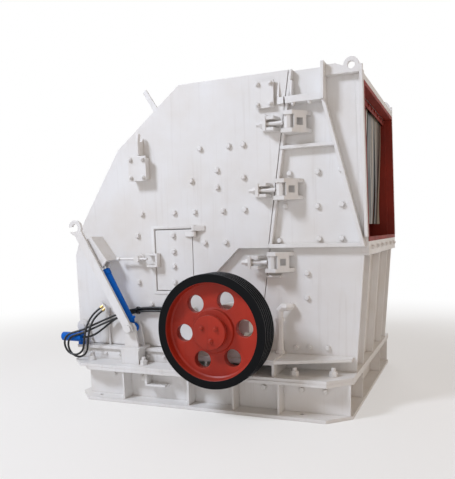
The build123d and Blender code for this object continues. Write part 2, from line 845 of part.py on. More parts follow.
def door():
    gap = parting_gap
    clasp_low = (door_bottom + door_top) / 2 - 54
    clasp_high = clasp_low + 115
    with BuildPart() as made:
        add(slab([(door_left + gap, door_bottom + gap), (door_right - gap, door_bottom + gap),
                  (door_right - gap, door_top - gap), (door_left + gap, door_top - gap)],
                 wall_outer, wall_outer - plate))
        for hinge_low in (door_bottom + 70, door_top - 20):
            add(door_knuckle(hinge_low - 45, 40, False))
        # clasp over the left edge
        add(slab([(door_left - 60, clasp_low), (door_left + 45, clasp_low), (door_left + 45, clasp_high),
                  (door_left - 60, clasp_high), (door_left - 60, clasp_high - 18),
                  (door_left + 25, clasp_high - 18), (door_left + 25, clasp_low + 18),
                  (door_left - 60, clasp_low + 18)], wall_outer + 60, wall_outer + 6))
        add(slab([(door_left + 8, clasp_low), (door_left + 45, clasp_low), (door_left + 45, clasp_high),
                  (door_left + 8, clasp_high)], wall_outer + 10, wall_outer))
    return made.part


inside_rear = wall_outer - plate
keep(rear_side(), "rear_side_near")
keep(mirrored(rear_side()), "rear_side_far")
keep(door(), "door_near")
keep(mirrored(door()), "door_far")
with BuildPart() as rear_roof:
    low = roof_top - plate
    add(across([(seam_x(low) - seam_bar - 3, low), (seam_x(low) - seam_bar - 3, roof_top), roof_bend,
                (roof_bend[0] + 8, low)], inside_rear))
    add(across([(seam_x(low) - seam_bar - 3, low), (seam_x(low), low), rear_seam_top,
                (seam_x(low) - seam_bar - 3, roof_top)], wall_inside))
keep(rear_roof.part, "rear_roof")
keep(across([roof_bend, slope_bend, (slope_bend[0] + 18, slope_bend[1] - 9), (roof_bend[0] + 8, roof_top - plate)],
            inside_rear), "rear_slope_upper")
keep(across([slope_bend, back_bend, (back_bend[0] + 19, back_bend[1] - 5), (slope_bend[0] + 18, slope_bend[1] - 9)],
            inside_rear), "rear_slope_lower")
keep(across([back_bend, back_head, (back_head[0], back_foot_z), (back_head[0] + plate, back_foot_z),
             (back_head[0] + plate, back_head[1] - 4), (back_bend[0] + 19, back_bend[1] - 5)],
            inside_rear), "rear_back")


# Impact aprons, hung from the square pivot plates
def apron(pivot, foot, sag, half_width):
    # a thick curved plate from its pivot down to its foot
    head = (pivot[0] + 35, pivot[1])
    head_rear = (pivot[0] - 35, pivot[1])
    foot_rear = (foot[0] - apron_thick, foot[1] + 20)
    middle = ((head[0] + foot[0]) / 2 - sag, (head[1] + foot[1]) / 2)
    with BuildPart() as made:
        with BuildSketch(Plane.XZ):
            with BuildLine():
                ThreePointArc(head, middle, foot)
                Line(foot, foot_rear)
                ThreePointArc(foot_rear, (middle[0] - apron_thick, middle[1]), head_rear)
                Line(head_rear, head)
            make_face()
        extrude(amount=half_width, both=True)
        add(boss_y(*pivot, pivot_r, inside_rear, -inside_rear))
    return made.part


def pivot_plate(pivot, half_wide, reach):
    # the pivot's box stands out of the wall under a wider cover
    with BuildPart() as made:
        box_outer = wall_outer + reach - cover_plate
        for wide, tall, outer, inner in ((half_wide - 10, pivot_plate_tall - 12, box_outer, wall_outer),
                                         (half_wide, pivot_plate_tall, box_outer + cover_plate, box_outer)):
            add(slab([(pivot[0] - wide, pivot[1] - tall), (pivot[0] + wide, pivot[1] - tall),
                      (pivot[0] + wide, pivot[1] + tall), (pivot[0] - wide, pivot[1] + tall)], outer, inner))
    return made.part


apron_half = wall_inside - 25
keep(apron(upper_pivot, upper_apron_foot, upper_apron_sag, apron_half), "apron_upper")
keep(apron(lower_pivot, lower_apron_foot, lower_apron_sag, apron_half), "apron_lower")
with BuildPart() as pivot_plates:
    add(both_sides(pivot_plate(upper_pivot, upper_plate_half, upper_plate_reach)))
    add(both_sides(pivot_plate(lower_pivot, lower_plate_half, lower_plate_reach)))
keep(pivot_plates.part, "pivot_plates")


# Door latches, hooks over the lower pivot boxes, and the roof's lever, lifting bow and plugs
def door_latch():
    handle_y = wall_outer + 65
    with BuildPart() as made:
        add(boss_y(latch_x, latch_z, 42, wall_outer + 14, wall_outer))
        add(boss_y(latch_x, latch_z, 28, handle_y + 18, wall_outer + 14))
        for start, length, radius in ((latch_x - latch_handle_reach, latch_handle, 11),
                                      (latch_x - latch_handle_reach - 15, 24, 17)):
            with BuildSketch(Plane.YZ.offset(start)):
                with Locations((-handle_y, latch_z)):
                    RegularPolygon(radius=radius, side_count=8)
            extrude(amount=length)
    return made.part


def pivot_hook():
    foot = lower_pivot[1] + pivot_plate_tall
    return cross_plate(lower_pivot[0] + 10, web_plate, [
        (wall_outer, foot + 6), (wall_outer + 84, foot + 6), (wall_outer + 90, foot + 110),
        (wall_outer + 78, foot + 178), (wall_outer + 44, foot + 178), (wall_outer + 54, foot + 118),
        (wall_outer + 28, foot + 118), (wall_outer, foot + 150)])


def roof_slope_z(x):
    share = (x - roof_bend[0]) / (slope_bend[0] - roof_bend[0])
    return roof_bend[1] + share * (slope_bend[1] - roof_bend[1])


def roof_lever():
    foot = (lever_foot_x, roof_slope_z(lever_foot_x))
    return slab([(foot[0] - 16, roof_slope_z(foot[0] - 16)), (foot[0] + 20, roof_slope_z(foot[0] + 20)),
                 (foot[0] - 90, foot[1] + 186), (foot[0] - 122, foot[1] + 166)],
                inside_rear - 20, inside_rear - 32)


def roof_bow():
    centre = (bow_x, roof_slope_z(bow_x))
    with BuildPart() as made:
        with BuildSketch(Plane.XZ.offset(inside_rear - 90)):
            with Locations(centre):
                RegularPolygon(radius=46, side_count=10)
                RegularPolygon(radius=30, side_count=10, mode=Mode.SUBTRACT)
        extrude(amount=16)
        with BuildSketch(Plane.XZ.offset(inside_rear - 92)):
            with BuildLine():
                Polyline(*[(x, roof_slope_z(x) + drop) for x, drop in
                           ((bow_x - 80, 0), (bow_x + 80, 0), (bow_x + 80, -120), (bow_x - 80, -120))], close=True)
            make_face()
        extrude(amount=20, mode=Mode.SUBTRACT)
    return made.part


def roof_plug(x, z):
    with BuildPart() as made:
        with BuildSketch(Plane.XY.offset(z)):
            with Locations((x, -(inside_rear - 60))):
                RegularPolygon(radius=18, side_count=6)
        extrude(amount=16)
    return made.part


with BuildPart() as rear_fittings:
    add(both_sides(door_latch()))
    add(both_sides(pivot_hook()))
    add(roof_lever())
    add(roof_bow())
    add(both_sides(roof_plug(102, roof_top)))
keep(rear_fittings.part, "rear_fittings")


# Seam clamps: a clevis with its hub on the feed housing, an anchor and bolt on the rear housing
def clamp_clevis(z):
    # two level plates that taper away from the seam, a pin between them and a windowed web along the taper
    seam = seam_x(z) + parting_gap
    reach = clamp_bolt_y + clamp_reach
    with BuildPart() as made:
        for low in (z - 78, z + 48):
            start = seam_x(low + 30) + parting_gap + seam_bar
            add(shelf([(start, wall_inner), (start, reach), (seam + 100, reach), (seam + 190, wall_outer),
                       (seam + 210, wall_inner)], low, 30))
        add(shelf([(seam + 106, reach - 10), (seam + 116, reach - 16), (seam + 184, wall_outer + 6),
                   (seam + 174, wall_outer + 6)], z - 48, 96))
        add(slab([(seam + 126, z - 26), (seam + 162, z - 26), (seam + 162, z + 26), (seam + 126, z + 26)],
                 reach, wall_outer + 2), mode=Mode.SUBTRACT)
        with BuildSketch(Plane.XY.offset(z - 48)):
            with Locations((seam + 60, -clamp_bolt_y)):
                RegularPolygon(radius=34, side_count=8)
        extrude(amount=96)
    return made.part


def clamp_anchor(z):
    seam = seam_x(z)
    wall = wall_outer if z > flange_line else wall_inner
    with BuildPart() as made:
        for low in (z - 52, z + 28):
            add(shelf([(seam - 100, wall), (seam - 100, clamp_bolt_y + 30), (seam - 40, clamp_bolt_y + 30),
                       (seam - 20, wall)], low, 24))
    return made.part


def clamp_bolt(z):
    seam = seam_x(z)
    with BuildPart() as made:
        for start, end, radius, sides in ((seam - 185, seam + parting_gap + 20, clamp_bolt_r, 8),
                                          (seam - 150, seam - 124, 30, 6)):
            with BuildSketch(Plane.YZ.offset(start)):
                with Locations((-clamp_bolt_y, z)):
                    RegularPolygon(radius=radius, side_count=sides)
            extrude(amount=end - start)
        with BuildSketch(Plane.YZ.offset(seam - 124)):
            with Locations((-clamp_bolt_y, z)):
                Rectangle(70, 100)
        extrude(amount=24)
    return made.part


def clamp_set(maker):
    with BuildPart() as made:
        for z in clamp_z:
            add(both_sides(maker(z)))
    return made.part


keep(clamp_set(clamp_clevis), "clamp_clevises")
keep(clamp_set(clamp_anchor), "clamp_anchors")
keep(clamp_set(clamp_bolt), "clamp_bolts")


# Housing hinge
def hinge_bracket():
    with BuildPart() as made:
        outer = wall_outer + 28
        add(slab([(lower_rear_x, ledge_top), (lower_rear_x + 120, ledge_top), (hinge_x + 50, hinge_z + 30),
                  (hinge_x - 58, hinge_z)], outer, wall_outer + 6))
        add(boss_y(hinge_x, hinge_z, hinge_ear_r - 2, outer, wall_outer + 6))
        add(boss_y(hinge_x, hinge_z, hinge_pin_r, outer + 14, wall_outer - plate - 6, 16))
    return made.part


keep(both_sides(hinge_bracket()), "hinge_brackets")


# Foot bracket for the cylinder and the strut
ear_inner = cylinder_y - eye_half - ear_gap
ear_outer = cylinder_y + eye_half + ear_gap


def foot_bracket():
    base_top = ledge_top + plate
    strut_outer = strut_y + strut_thick / 2
    with BuildPart() as made:
        add(shelf([(foot_x - 95, wall_outer + 10), (foot_x + 95, wall_outer + 10), (foot_x + 95, strut_y),
                   (foot_x - 95, strut_y)], ledge_top, plate))
        add(shelf([(foot_x - 85, ledge_half_width), (foot_x + 85, ledge_half_width), (foot_x + 85, strut_y),
                   (foot_x - 85, strut_y)], lower_flange_top, ledge_top - lower_flange_top))
        for inner in (ear_inner - ear_thick, ear_outer):
            add(slab([(foot_x - 70, base_top), (foot_x + 70, base_top), (foot_x + ear_r, foot_z + 10),
                      (foot_x + 30, foot_z + 40), (foot_x, foot_z + ear_r), (foot_x - 30, foot_z + 40),
                      (foot_x - ear_r, foot_z + 10)], inner + ear_thick, inner))
        add(boss_y(foot_x, foot_z, foot_pin_r, strut_outer + 3, ear_inner - ear_thick, 16))
        add(boss_y(foot_x, foot_z, foot_pin_r + 10, strut_outer + 15, strut_outer + 3, 8))
    return made.part


def head_bracket():
    with BuildPart() as made:
        outline = [(head_x - 110, head_z + 185), (head_x - 55, head_z + 212), (head_x + 92, head_z + 10),
                   (head_x + 32, head_z - 60), (head_x - 50, head_z - 50)]
        add(slab(outline, ear_inner, ear_inner - ear_thick))
        add(slab(outline, ear_outer + ear_thick, ear_outer))
        add(slab([outline[1], outline[2], (head_x + 76, head_z - 2), (head_x - 71, head_z + 200)],
                 ear_outer + ear_thick, wall_outer))
        # the pin's two heads, on the ears' outer faces
        add(boss_y(head_x, head_z, foot_pin_r, ear_outer + ear_thick + 8, ear_outer + ear_thick))
        add(boss_y(head_x, head_z, foot_pin_r, ear_inner - ear_thick, ear_inner - ear_thick - 8))
    return made.part


keep(both_sides(foot_bracket()), "foot_brackets")
keep(both_sides(head_bracket()), "head_brackets")


# Opening cylinder
cylinder_run = hypot(head_x - foot_x, head_z - foot_z)
cylinder_dir = Vector(head_x - foot_x, 0, head_z - foot_z).normalized()
cylinder_side = Vector(cylinder_dir.Z, 0, -cylinder_dir.X)


def along(distance):
    return Plane(origin=Vector(foot_x, -cylinder_y, foot_z) + cylinder_dir * distance, z_dir=cylinder_dir)


def barrel():
    with BuildPart() as made:
        with BuildSketch(along(52)):
            RegularPolygon(radius=barrel_r, side_count=24)
        extrude(amount=cylinder_length - 52)
        with BuildSketch(along(30)):
            Rectangle(2 * eye_half, 56)
        extrude(amount=24)
        add(boss_y(foot_x, foot_z, 40, cylinder_y + eye_half, cylinder_y - eye_half))
        for radius, length in ((barrel_bore_r, cylinder_length - 90 - barrel_cap),
                               (rod_r + pin_fit, cylinder_length)):
            with BuildSketch(along(90)):
                RegularPolygon(radius=radius, side_count=16, major_radius=False)
            extrude(amount=length, mode=Mode.SUBTRACT)
        add(bore_y(foot_x, foot_z, foot_pin_r + pin_fit, cylinder_y + eye_half + 1, cylinder_y - eye_half - 1),
            mode=Mode.SUBTRACT)
        # the ports' bosses, on the side away from the strut
        for distance, turn in ((76, 1), (cylinder_length - 40, -1)):
            centre = Vector(foot_x, -cylinder_y, foot_z) + cylinder_dir * distance
            outward = cylinder_side * turn
            with BuildSketch(Plane(origin=centre + outward * (barrel_r - 4), z_dir=outward)):
                RegularPolygon(radius=16, side_count=8)
            extrude(amount=22)
    return made.part


def piston_rod():
    with BuildPart() as made:
        for radius, length in ((rod_r, cylinder_run - 105 - 34), (barrel_bore_r - 1, 24)):
            with BuildSketch(along(105)):
                RegularPolygon(radius=radius, side_count=16)
            extrude(amount=length)
        add(boss_y(head_x, head_z, 38, cylinder_y + eye_half, cylinder_y - eye_half))
        add(bore_y(head_x, head_z, foot_pin_r, cylinder_y + eye_half + 1, cylinder_y - eye_half - 1),
            mode=Mode.SUBTRACT)
    return made.part


keep(barrel(), "cylinder_barrel_near")
keep(mirrored(barrel()), "cylinder_barrel_far")
keep(piston_rod(), "piston_rod_near")
keep(mirrored(piston_rod()), "piston_rod_far")


# Safety strut with an open hook at its head
def strut():
    inner = strut_y - strut_thick / 2
    outer = strut_y + strut_thick / 2
    run = hypot(strut_head_x - foot_x, strut_head_z - foot_z)
    side = ((strut_head_z - foot_z) / run * strut_wide / 2, (foot_x - strut_head_x) / run * strut_wide / 2)
    with BuildPart() as made:
        add(slab([(foot_x - side[0], foot_z - side[1]), (foot_x + side[0], foot_z + side[1]),
                  (strut_head_x + side[0], strut_head_z + side[1]),
                  (strut_head_x - side[0], strut_head_z - side[1])], outer, inner))
        add(boss_y(foot_x, foot_z, strut_wide / 2 + 4, outer, inner))
        add(boss_y(strut_head_x, strut_head_z, hook_r, outer, inner, 24))
        add(boss_y(strut_head_x, strut_head_z, hook_r / 2, outer + 1, inner - 1, 16), mode=Mode.SUBTRACT)
        add(slab([(strut_head_x, strut_head_z + 8), (strut_head_x - 90, strut_head_z + 8),
                  (strut_head_x - 90, strut_head_z - 32), (strut_head_x, strut_head_z - 32)],
                 outer + 1, inner - 1), mode=Mode.SUBTRACT)
        add(bore_y(foot_x, foot_z, foot_pin_r + pin_fit, outer + 1, inner - 1), mode=Mode.SUBTRACT)
    return made.part


keep(strut(), "safety_strut_near")
keep(mirrored(strut()), "safety_strut_far")


# Short hydraulic accumulator on a plate at the rear end of the ledge
with BuildPart() as accumulator:
    with BuildSketch(Plane.YZ.offset(accumulator_x)):
        with Locations((-accumulator_y, accumulator_z)):
            RegularPolygon(radius=accumulator_r, side_count=24)
    extrude(amount=accumulator_length)
    with BuildSketch(Plane.XY.offset(ledge_top)):
        with Locations((lower_rear_x + 40, -ledge_half_width + 10)):
            Rectangle(60, 20)
    extrude(amount=accumulator_z + 40 - ledge_top)
    with BuildSketch(Plane.YZ.offset(lower_rear_x + 15)):
        with Locations((-(ledge_half_width + accumulator_y) / 2, accumulator_z)):
            Rectangle(accumulator_y - ledge_half_width, 30)
    extrude(amount=50)
keep(accumulator.part, "accumulator")


# Hydraulic hoses: each a tube of straight runs joined by arcs, with its points in the order from the
# bulkhead behind the pulley to the far fitting
hose_r = 9
fitting_r = 13
fitting_length = 30
bulkhead_top = 790
bulkhead_inner = wall_outer + 12
bulkhead_outer = wall_outer + 70
port_block = (50, 90)
port_post_inner = bulkhead_inner + 14
port_post_outer = wall_outer + 62
hose_routes = {
"hose_1": [
    (-100, -890, 766), (-190, -890, 766), (-310, -888, 779), (-440, -886, 781), (-570, -887, 773),
    (-700, -890, 748), (-820, -897, 707), (-930, -920, 662), (-1030, -952, 617), (-1115, -990, 577),
    (-1253, -1044, 541), (-1278, -1056, 456), (-1233, -1058, 379), (-1147, -1058, 358),
    (-1072, -1057, 405), (-1058, -1055, 494), (-1050, -1045, 560), (-1045, -1018, 632),
    (-1036, -965, 690), (-1015, -918, 735), (-980, -895, 765),
],
"hose_2": [
    (-100, -890, 738), (-188, -890, 738), (-305, -888, 750), (-432, -888, 754), (-560, -886, 746),
    (-688, -889, 722), (-806, -897, 684), (-915, -922, 640), (-1013, -960, 594), (-1095, -1002, 554),
    (-1233, -1028, 518), (-1258, -1031, 433), (-1213, -1032, 356), (-1127, -1032, 335),
    (-1052, -1031, 382), (-1038, -1030, 470), (-1030, -1024, 537), (-1025, -1004, 609),
    (-1016, -960, 667), (-996, -916, 711), (-961, -893, 741),
],
"hose_3": [
    (-100, -864, 752), (-192, -864, 752), (-312, -866, 765), (-440, -866, 768), (-566, -865, 760),
    (-690, -867, 734), (-800, -870, 692), (-900, -878, 630), (-975, -898, 570), (-1030, -932, 527),
    (-1080, -964, 510), (-1129, -972, 508),
],
}


def hose(points):
    corners = [Vector(*point) for point in points]
    radii = []
    for before, corner, after in zip(corners, corners[1:], corners[2:]):
        run = min((corner - before).length, (after - corner).length)
        half_turn = (corner - before).get_angle(after - corner) / 2
        radii.append(0.45 * run / tan(radians(half_turn)))
    with BuildPart() as made:
        with BuildLine() as line:
            FilletPolyline(*corners, radius=radii)
        with BuildSketch(Plane(origin=corners[0], z_dir=corners[1] - corners[0])) as section:
            RegularPolygon(radius=hose_r, side_count=6)
        sweep(path=line.wires()[0])
    length = line.wires()[0].length
    print("radii", [round(radius) for radius in radii], "length", round(length),
          "volume ratio", round(made.part.volume / (section.sketch.area * length), 4))
    return made.part


def fitting(points, at_start):
    # a round brass ferrule, in line with the hose's end
    end, before = (points[0], points[1]) if at_start else (points[-1], points[-2])
    outward = (Vector(*end) - Vector(*before)).normalized()
    with BuildPart() as made:
        with BuildSketch(Plane(origin=end, z_dir=outward)):
            RegularPolygon(radius=fitting_r, side_count=8)
        extrude(amount=fitting_length)
    return made.part


def hose_brackets():
    # an upright plate behind the pulley, and a port block on a post over the ledge
    start_x = hose_routes["hose_1"][0][0] + fitting_length
    end = Vector(*hose_routes["hose_1"][-1])
    outward = (end - Vector(*hose_routes["hose_1"][-2])).normalized()
    seat = end + outward * fitting_length
    post_x = seat.X + 32
    with BuildPart() as made:
        add(cross_plate(start_x, 12, [(bulkhead_inner, pedestal_top), (bulkhead_outer, pedestal_top),
                                      (bulkhead_outer, bulkhead_top), (bulkhead_inner, bulkhead_top)]))
        with BuildSketch(Plane(origin=seat, x_dir=(0, 1, 0), z_dir=outward)):
            Rectangle(*port_block)
        extrude(amount=14)
        add(cross_plate(post_x, 14, [(bulkhead_inner, ledge_top), (port_post_inner, ledge_top),
                                     (port_post_inner, seat.Z - 80), (port_post_outer, seat.Z - 50),
                                     (port_post_outer, seat.Z - 10), (bulkhead_inner, seat.Z - 10)]))
    return made.part


for label, points in hose_routes.items():
    keep(hose(points), label)
keep(hose_brackets(), "hose_brackets")
fittings = [fitting(points, True) for points in hose_routes.values()]
fittings += [fitting(hose_routes["hose_1"], False), fitting(hose_routes["hose_2"], False)]
keep(Compound(children=fittings), "hose_fittings")
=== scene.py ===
import bpy
import json
from math import radians, cos, sin, pi
from mathutils import Vector, Matrix


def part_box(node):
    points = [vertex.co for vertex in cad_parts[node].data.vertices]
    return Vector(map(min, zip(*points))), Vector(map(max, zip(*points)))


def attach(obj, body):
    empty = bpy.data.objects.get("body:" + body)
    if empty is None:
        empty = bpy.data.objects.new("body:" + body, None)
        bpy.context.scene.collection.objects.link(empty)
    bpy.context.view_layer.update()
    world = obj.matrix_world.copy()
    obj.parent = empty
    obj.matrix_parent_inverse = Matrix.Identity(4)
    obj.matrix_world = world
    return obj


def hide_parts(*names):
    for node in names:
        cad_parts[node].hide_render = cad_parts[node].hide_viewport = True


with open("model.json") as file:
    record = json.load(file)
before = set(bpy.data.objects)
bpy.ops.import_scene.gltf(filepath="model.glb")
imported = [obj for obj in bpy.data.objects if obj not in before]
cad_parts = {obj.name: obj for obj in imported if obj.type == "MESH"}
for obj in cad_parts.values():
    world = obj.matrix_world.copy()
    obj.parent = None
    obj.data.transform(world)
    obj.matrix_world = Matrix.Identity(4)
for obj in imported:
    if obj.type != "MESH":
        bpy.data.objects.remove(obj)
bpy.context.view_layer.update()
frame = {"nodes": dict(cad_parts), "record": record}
nodes = frame["nodes"]
nodeSlots = {part["node"]: part["material_slot"] for part in frame["record"]["subparts"]}
print("frame loaded:", len(nodes), "nodes")


# small helpers
def deselectAll():
    for thing in list(bpy.context.selected_objects):
        thing.select_set(False)


def makeActive(thing):
    deselectAll()
    thing.select_set(True)
    bpy.context.view_layer.objects.active = thing


def selectFaces(thing, test):
    # leaves the object in edit mode with only the wanted faces selected
    bpy.ops.object.mode_set(mode="EDIT")
    bpy.ops.mesh.select_mode(type="FACE")
    bpy.ops.mesh.select_all(action="DESELECT")
    bpy.ops.object.mode_set(mode="OBJECT")
    for face in thing.data.polygons:
        face.select = test(face)
    bpy.ops.object.mode_set(mode="EDIT")


def linearFromHex(text):
    # the sRGB curve, undone
    values = [int(text[place:place + 2], 16) / 255 for place in (1, 3, 5)]
    return [v / 12.92 if v <= 0.04045 else ((v + 0.055) / 1.055) ** 2.4 for v in values] + [1.0]


def addNode(tree, kind, settings={}, sockets={}):
    node = tree.nodes.new(kind)
    for name, value in settings.items():
        setattr(node, name, value)
    for key, value in sockets.items():
        if isinstance(value, bpy.types.NodeSocket):
            tree.links.new(value, node.inputs[key])
        else:
            node.inputs[key].default_value = value
    return node


def newMaterial(name):
    material = bpy.data.materials.new(name)
    material.use_nodes = True
    material.node_tree.nodes.clear()
    return material, material.node_tree


def dress(thing, material):
    if thing.material_slots:
        for place in thing.material_slots:
            place.material = material
    else:
        thing.data.materials.append(material)


def joinAll(name, pieces):
    makeActive(pieces[0])
    for piece in pieces:
        piece.select_set(True)
    bpy.ops.object.join()
    joined = bpy.context.object
    joined.name = name
    return joined


def turnFacesOut():
    # from edit mode, and back to object mode
    bpy.ops.mesh.select_all(action="SELECT")
    bpy.ops.mesh.normals_make_consistent(inside=False)
    bpy.ops.object.mode_set(mode="OBJECT")


def thicken(piece, thick):
    plate = piece.modifiers.new("plate", "SOLIDIFY")
    plate.thickness = thick
    plate.offset = 0.0
    makeActive(piece)
    bpy.ops.object.modifier_apply(modifier=plate.name)


def soften(piece, width, segments=2, angle=35):
    makeActive(piece)
    edge = piece.modifiers.new("softEdge", "BEVEL")
    edge.width = width
    edge.segments = segments
    edge.limit_method = "ANGLE"
    edge.angle_limit = radians(angle)
    bpy.ops.object.modifier_apply(modifier=edge.name)


def softBox(name, middle, size, edge):
    deselectAll()
    bpy.ops.mesh.primitive_cube_add(size=1, location=middle)
    box = bpy.context.object
    box.name = name
    box.scale = size
    bpy.ops.object.transform_apply(location=True, scale=True)
    soften(box, edge)
    return box


# camera, fitted to the straight edges of the photograph
cameraView = {"place": (2.034, -5.115, 1.405), "turn": 22.97, "down": 8.0, "roll": -1.56,
              "lens": 43.1, "sensor": 36.0, "shiftY": 0.152, "clip": 60}


def addCamera(view):
    turn, down, roll = (radians(view[key]) for key in ("turn", "down", "roll"))
    look = Vector((-sin(turn) * cos(down), cos(turn) * cos(down), -sin(down)))
    side = Vector((cos(turn), sin(turn), 0.0))
    up = side.cross(look)
    right = side * cos(roll) + up * sin(roll)
    top = up * cos(roll) - side * sin(roll)
    bpy.ops.object.camera_add()
    seen = bpy.context.object
    seen.name = "photoCamera"
    axes = Matrix((right, top, -look)).transposed().to_4x4()
    seen.matrix_world = Matrix.Translation(view["place"]) @ axes
    seen.data.lens = view["lens"]
    seen.data.sensor_width = view["sensor"]
    seen.data.shift_y = view["shiftY"]
    seen.data.clip_end = view["clip"]
    bpy.context.scene.camera = seen


addCamera(cameraView)
print("camera placed")

# hydraulic hoses: the same points as the model's routes, in metres
hoseLook = {"diameter": 0.018, "round": 6, "resolution": 10, "order": 3}
hoseRoutes = {
    "hose_1": [
        (-0.100, -0.890, 0.766), (-0.190, -0.890, 0.766), (-0.310, -0.888, 0.779),
        (-0.440, -0.886, 0.781), (-0.570, -0.887, 0.773), (-0.700, -0.890, 0.748),
        (-0.820, -0.897, 0.707), (-0.930, -0.920, 0.662), (-1.030, -0.952, 0.617),
        (-1.115, -0.990, 0.577), (-1.253, -1.044, 0.541), (-1.278, -1.056, 0.456),
        (-1.233, -1.058, 0.379), (-1.147, -1.058, 0.358), (-1.072, -1.057, 0.405),
        (-1.058, -1.055, 0.494), (-1.050, -1.045, 0.560), (-1.045, -1.018, 0.632),
        (-1.036, -0.965, 0.690), (-1.015, -0.918, 0.735), (-0.980, -0.895, 0.765)],
    "hose_2": [
        (-0.100, -0.890, 0.738), (-0.188, -0.890, 0.738), (-0.305, -0.888, 0.750),
        (-0.432, -0.888, 0.754), (-0.560, -0.886, 0.746), (-0.688, -0.889, 0.722),
        (-0.806, -0.897, 0.684), (-0.915, -0.922, 0.640), (-1.013, -0.960, 0.594),
        (-1.095, -1.002, 0.554), (-1.233, -1.028, 0.518), (-1.258, -1.031, 0.433),
        (-1.213, -1.032, 0.356), (-1.127, -1.032, 0.335), (-1.052, -1.031, 0.382),
        (-1.038, -1.030, 0.470), (-1.030, -1.024, 0.537), (-1.025, -1.004, 0.609),
        (-1.016, -0.960, 0.667), (-0.996, -0.916, 0.711), (-0.961, -0.893, 0.741)],
    "hose_3": [
        (-0.100, -0.864, 0.752), (-0.192, -0.864, 0.752), (-0.312, -0.866, 0.765),
        (-0.440, -0.866, 0.768), (-0.566, -0.865, 0.760), (-0.690, -0.867, 0.734),
        (-0.800, -0.870, 0.692), (-0.900, -0.878, 0.630), (-0.975, -0.898, 0.570),
        (-1.030, -0.932, 0.527), (-1.080, -0.964, 0.510), (-1.129, -0.972, 0.508)],
}


def addHose(label, points, look):
    curve = bpy.data.curves.new(label + "Line", "CURVE")
    curve.dimensions = "3D"
    line = curve.splines.new("NURBS")
    line.points.add(len(points) - 1)
    for place, point in zip(line.points, points):
        place.co = (*point, 1.0)
        place.radius = look["diameter"] / 2  # on the points, so that the curve's own box is true
    line.order_u = look["order"]
    line.use_endpoint_u = True
    curve.bevel_depth = 1.0  # times the radius of the points
    curve.bevel_resolution = look["round"]
    curve.resolution_u = look["resolution"]
    curve.use_fill_caps = True
    hose = bpy.data.objects.new("hydraulicHose" + label[-1], curve)
    bpy.context.collection.objects.link(hose)
    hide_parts(label)
    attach(hose, "root")
    return hose


hoses = [addHose(label, points, hoseLook) for label, points in hoseRoutes.items()]
print("hoses laid")

# light and stage: a cool key high up in front on the left, as the shade right of the seam shows, and three wide
# weak lamps, of which the one on the feed side is warm
lamps = {
    "key": {"place": (-4.3, -6.4, 7.4), "aim": (0.0, -0.6, 1.2), "size": 2.2, "power": 610, "tint": "#E6EFFF"},
    "back": {"place": (-1.5, 8.5, 5.0), "aim": (0.0, 0.6, 1.2), "size": 4.0, "power": 130, "tint": "#F2F6FF"},
    "front": {"place": (2.2, -8.0, 1.6), "aim": (0.6, 0.0, 0.5), "size": 4.0, "power": 42, "tint": "#F1F5FF"},
    "fill": {"place": (6.5, -1.5, 2.2), "aim": (0.8, 0.0, 1.2), "size": 4.0, "power": 45, "tint": "#FFE7D2"},
}
skyLook = {"tint": "#FFF1E4", "strength": 0.33}
floorLook = {"size": 60.0, "colour": "#F1EEEA", "drop": 0.0015, "near": 2.4, "far": 7.0, "lift": 0.42,
             "rough": 0.9, "shine": 0.2}
white = (1, 1, 1, 1)


def addLamp(name, lamp):
    bpy.ops.object.light_add(type="AREA", location=lamp["place"])
    light = bpy.context.object
    light.name = name + "Lamp"
    light.data.shape = "DISK"
    light.data.size = lamp["size"]
    light.data.energy = lamp["power"]
    light.data.color = linearFromHex(lamp["tint"])[:3]
    aim = Vector(lamp["aim"]) - Vector(lamp["place"])
    light.rotation_euler = aim.to_track_quat("-Z", "Y").to_euler()


def rayPart(tree, kinds):
    # 1 for rays of the kinds named, 0 for the others
    rays = addNode(tree, "ShaderNodeLightPath")
    part = rays.outputs[kinds[0]]
    for kind in kinds[1:]:
        both = addNode(tree, "ShaderNodeMath", {"operation": "MAXIMUM"}, {0: part, 1: rays.outputs[kind]})
        part = both.outputs[0]
    return part


def addSky(look):
    # soft light for the object, plain white where the backdrop itself is seen
    world = bpy.data.worlds.new("studioSky")
    bpy.context.scene.world = world
    world.use_nodes = True
    tree = world.node_tree
    tree.nodes.clear()
    seen = rayPart(tree, ("Is Camera Ray", "Is Glossy Ray", "Is Transmission Ray"))
    soft = addNode(tree, "ShaderNodeBackground", {}, {"Color": linearFromHex(look["tint"]),
                                                     "Strength": look["strength"]})
    plain = addNode(tree, "ShaderNodeBackground", {}, {"Color": white, "Strength": 1.0})
    both = addNode(tree, "ShaderNodeMixShader", {}, {0: seen, 1: soft.outputs[0], 2: plain.outputs[0]})
    addNode(tree, "ShaderNodeOutputWorld", {}, {"Surface": both.outputs[0]})


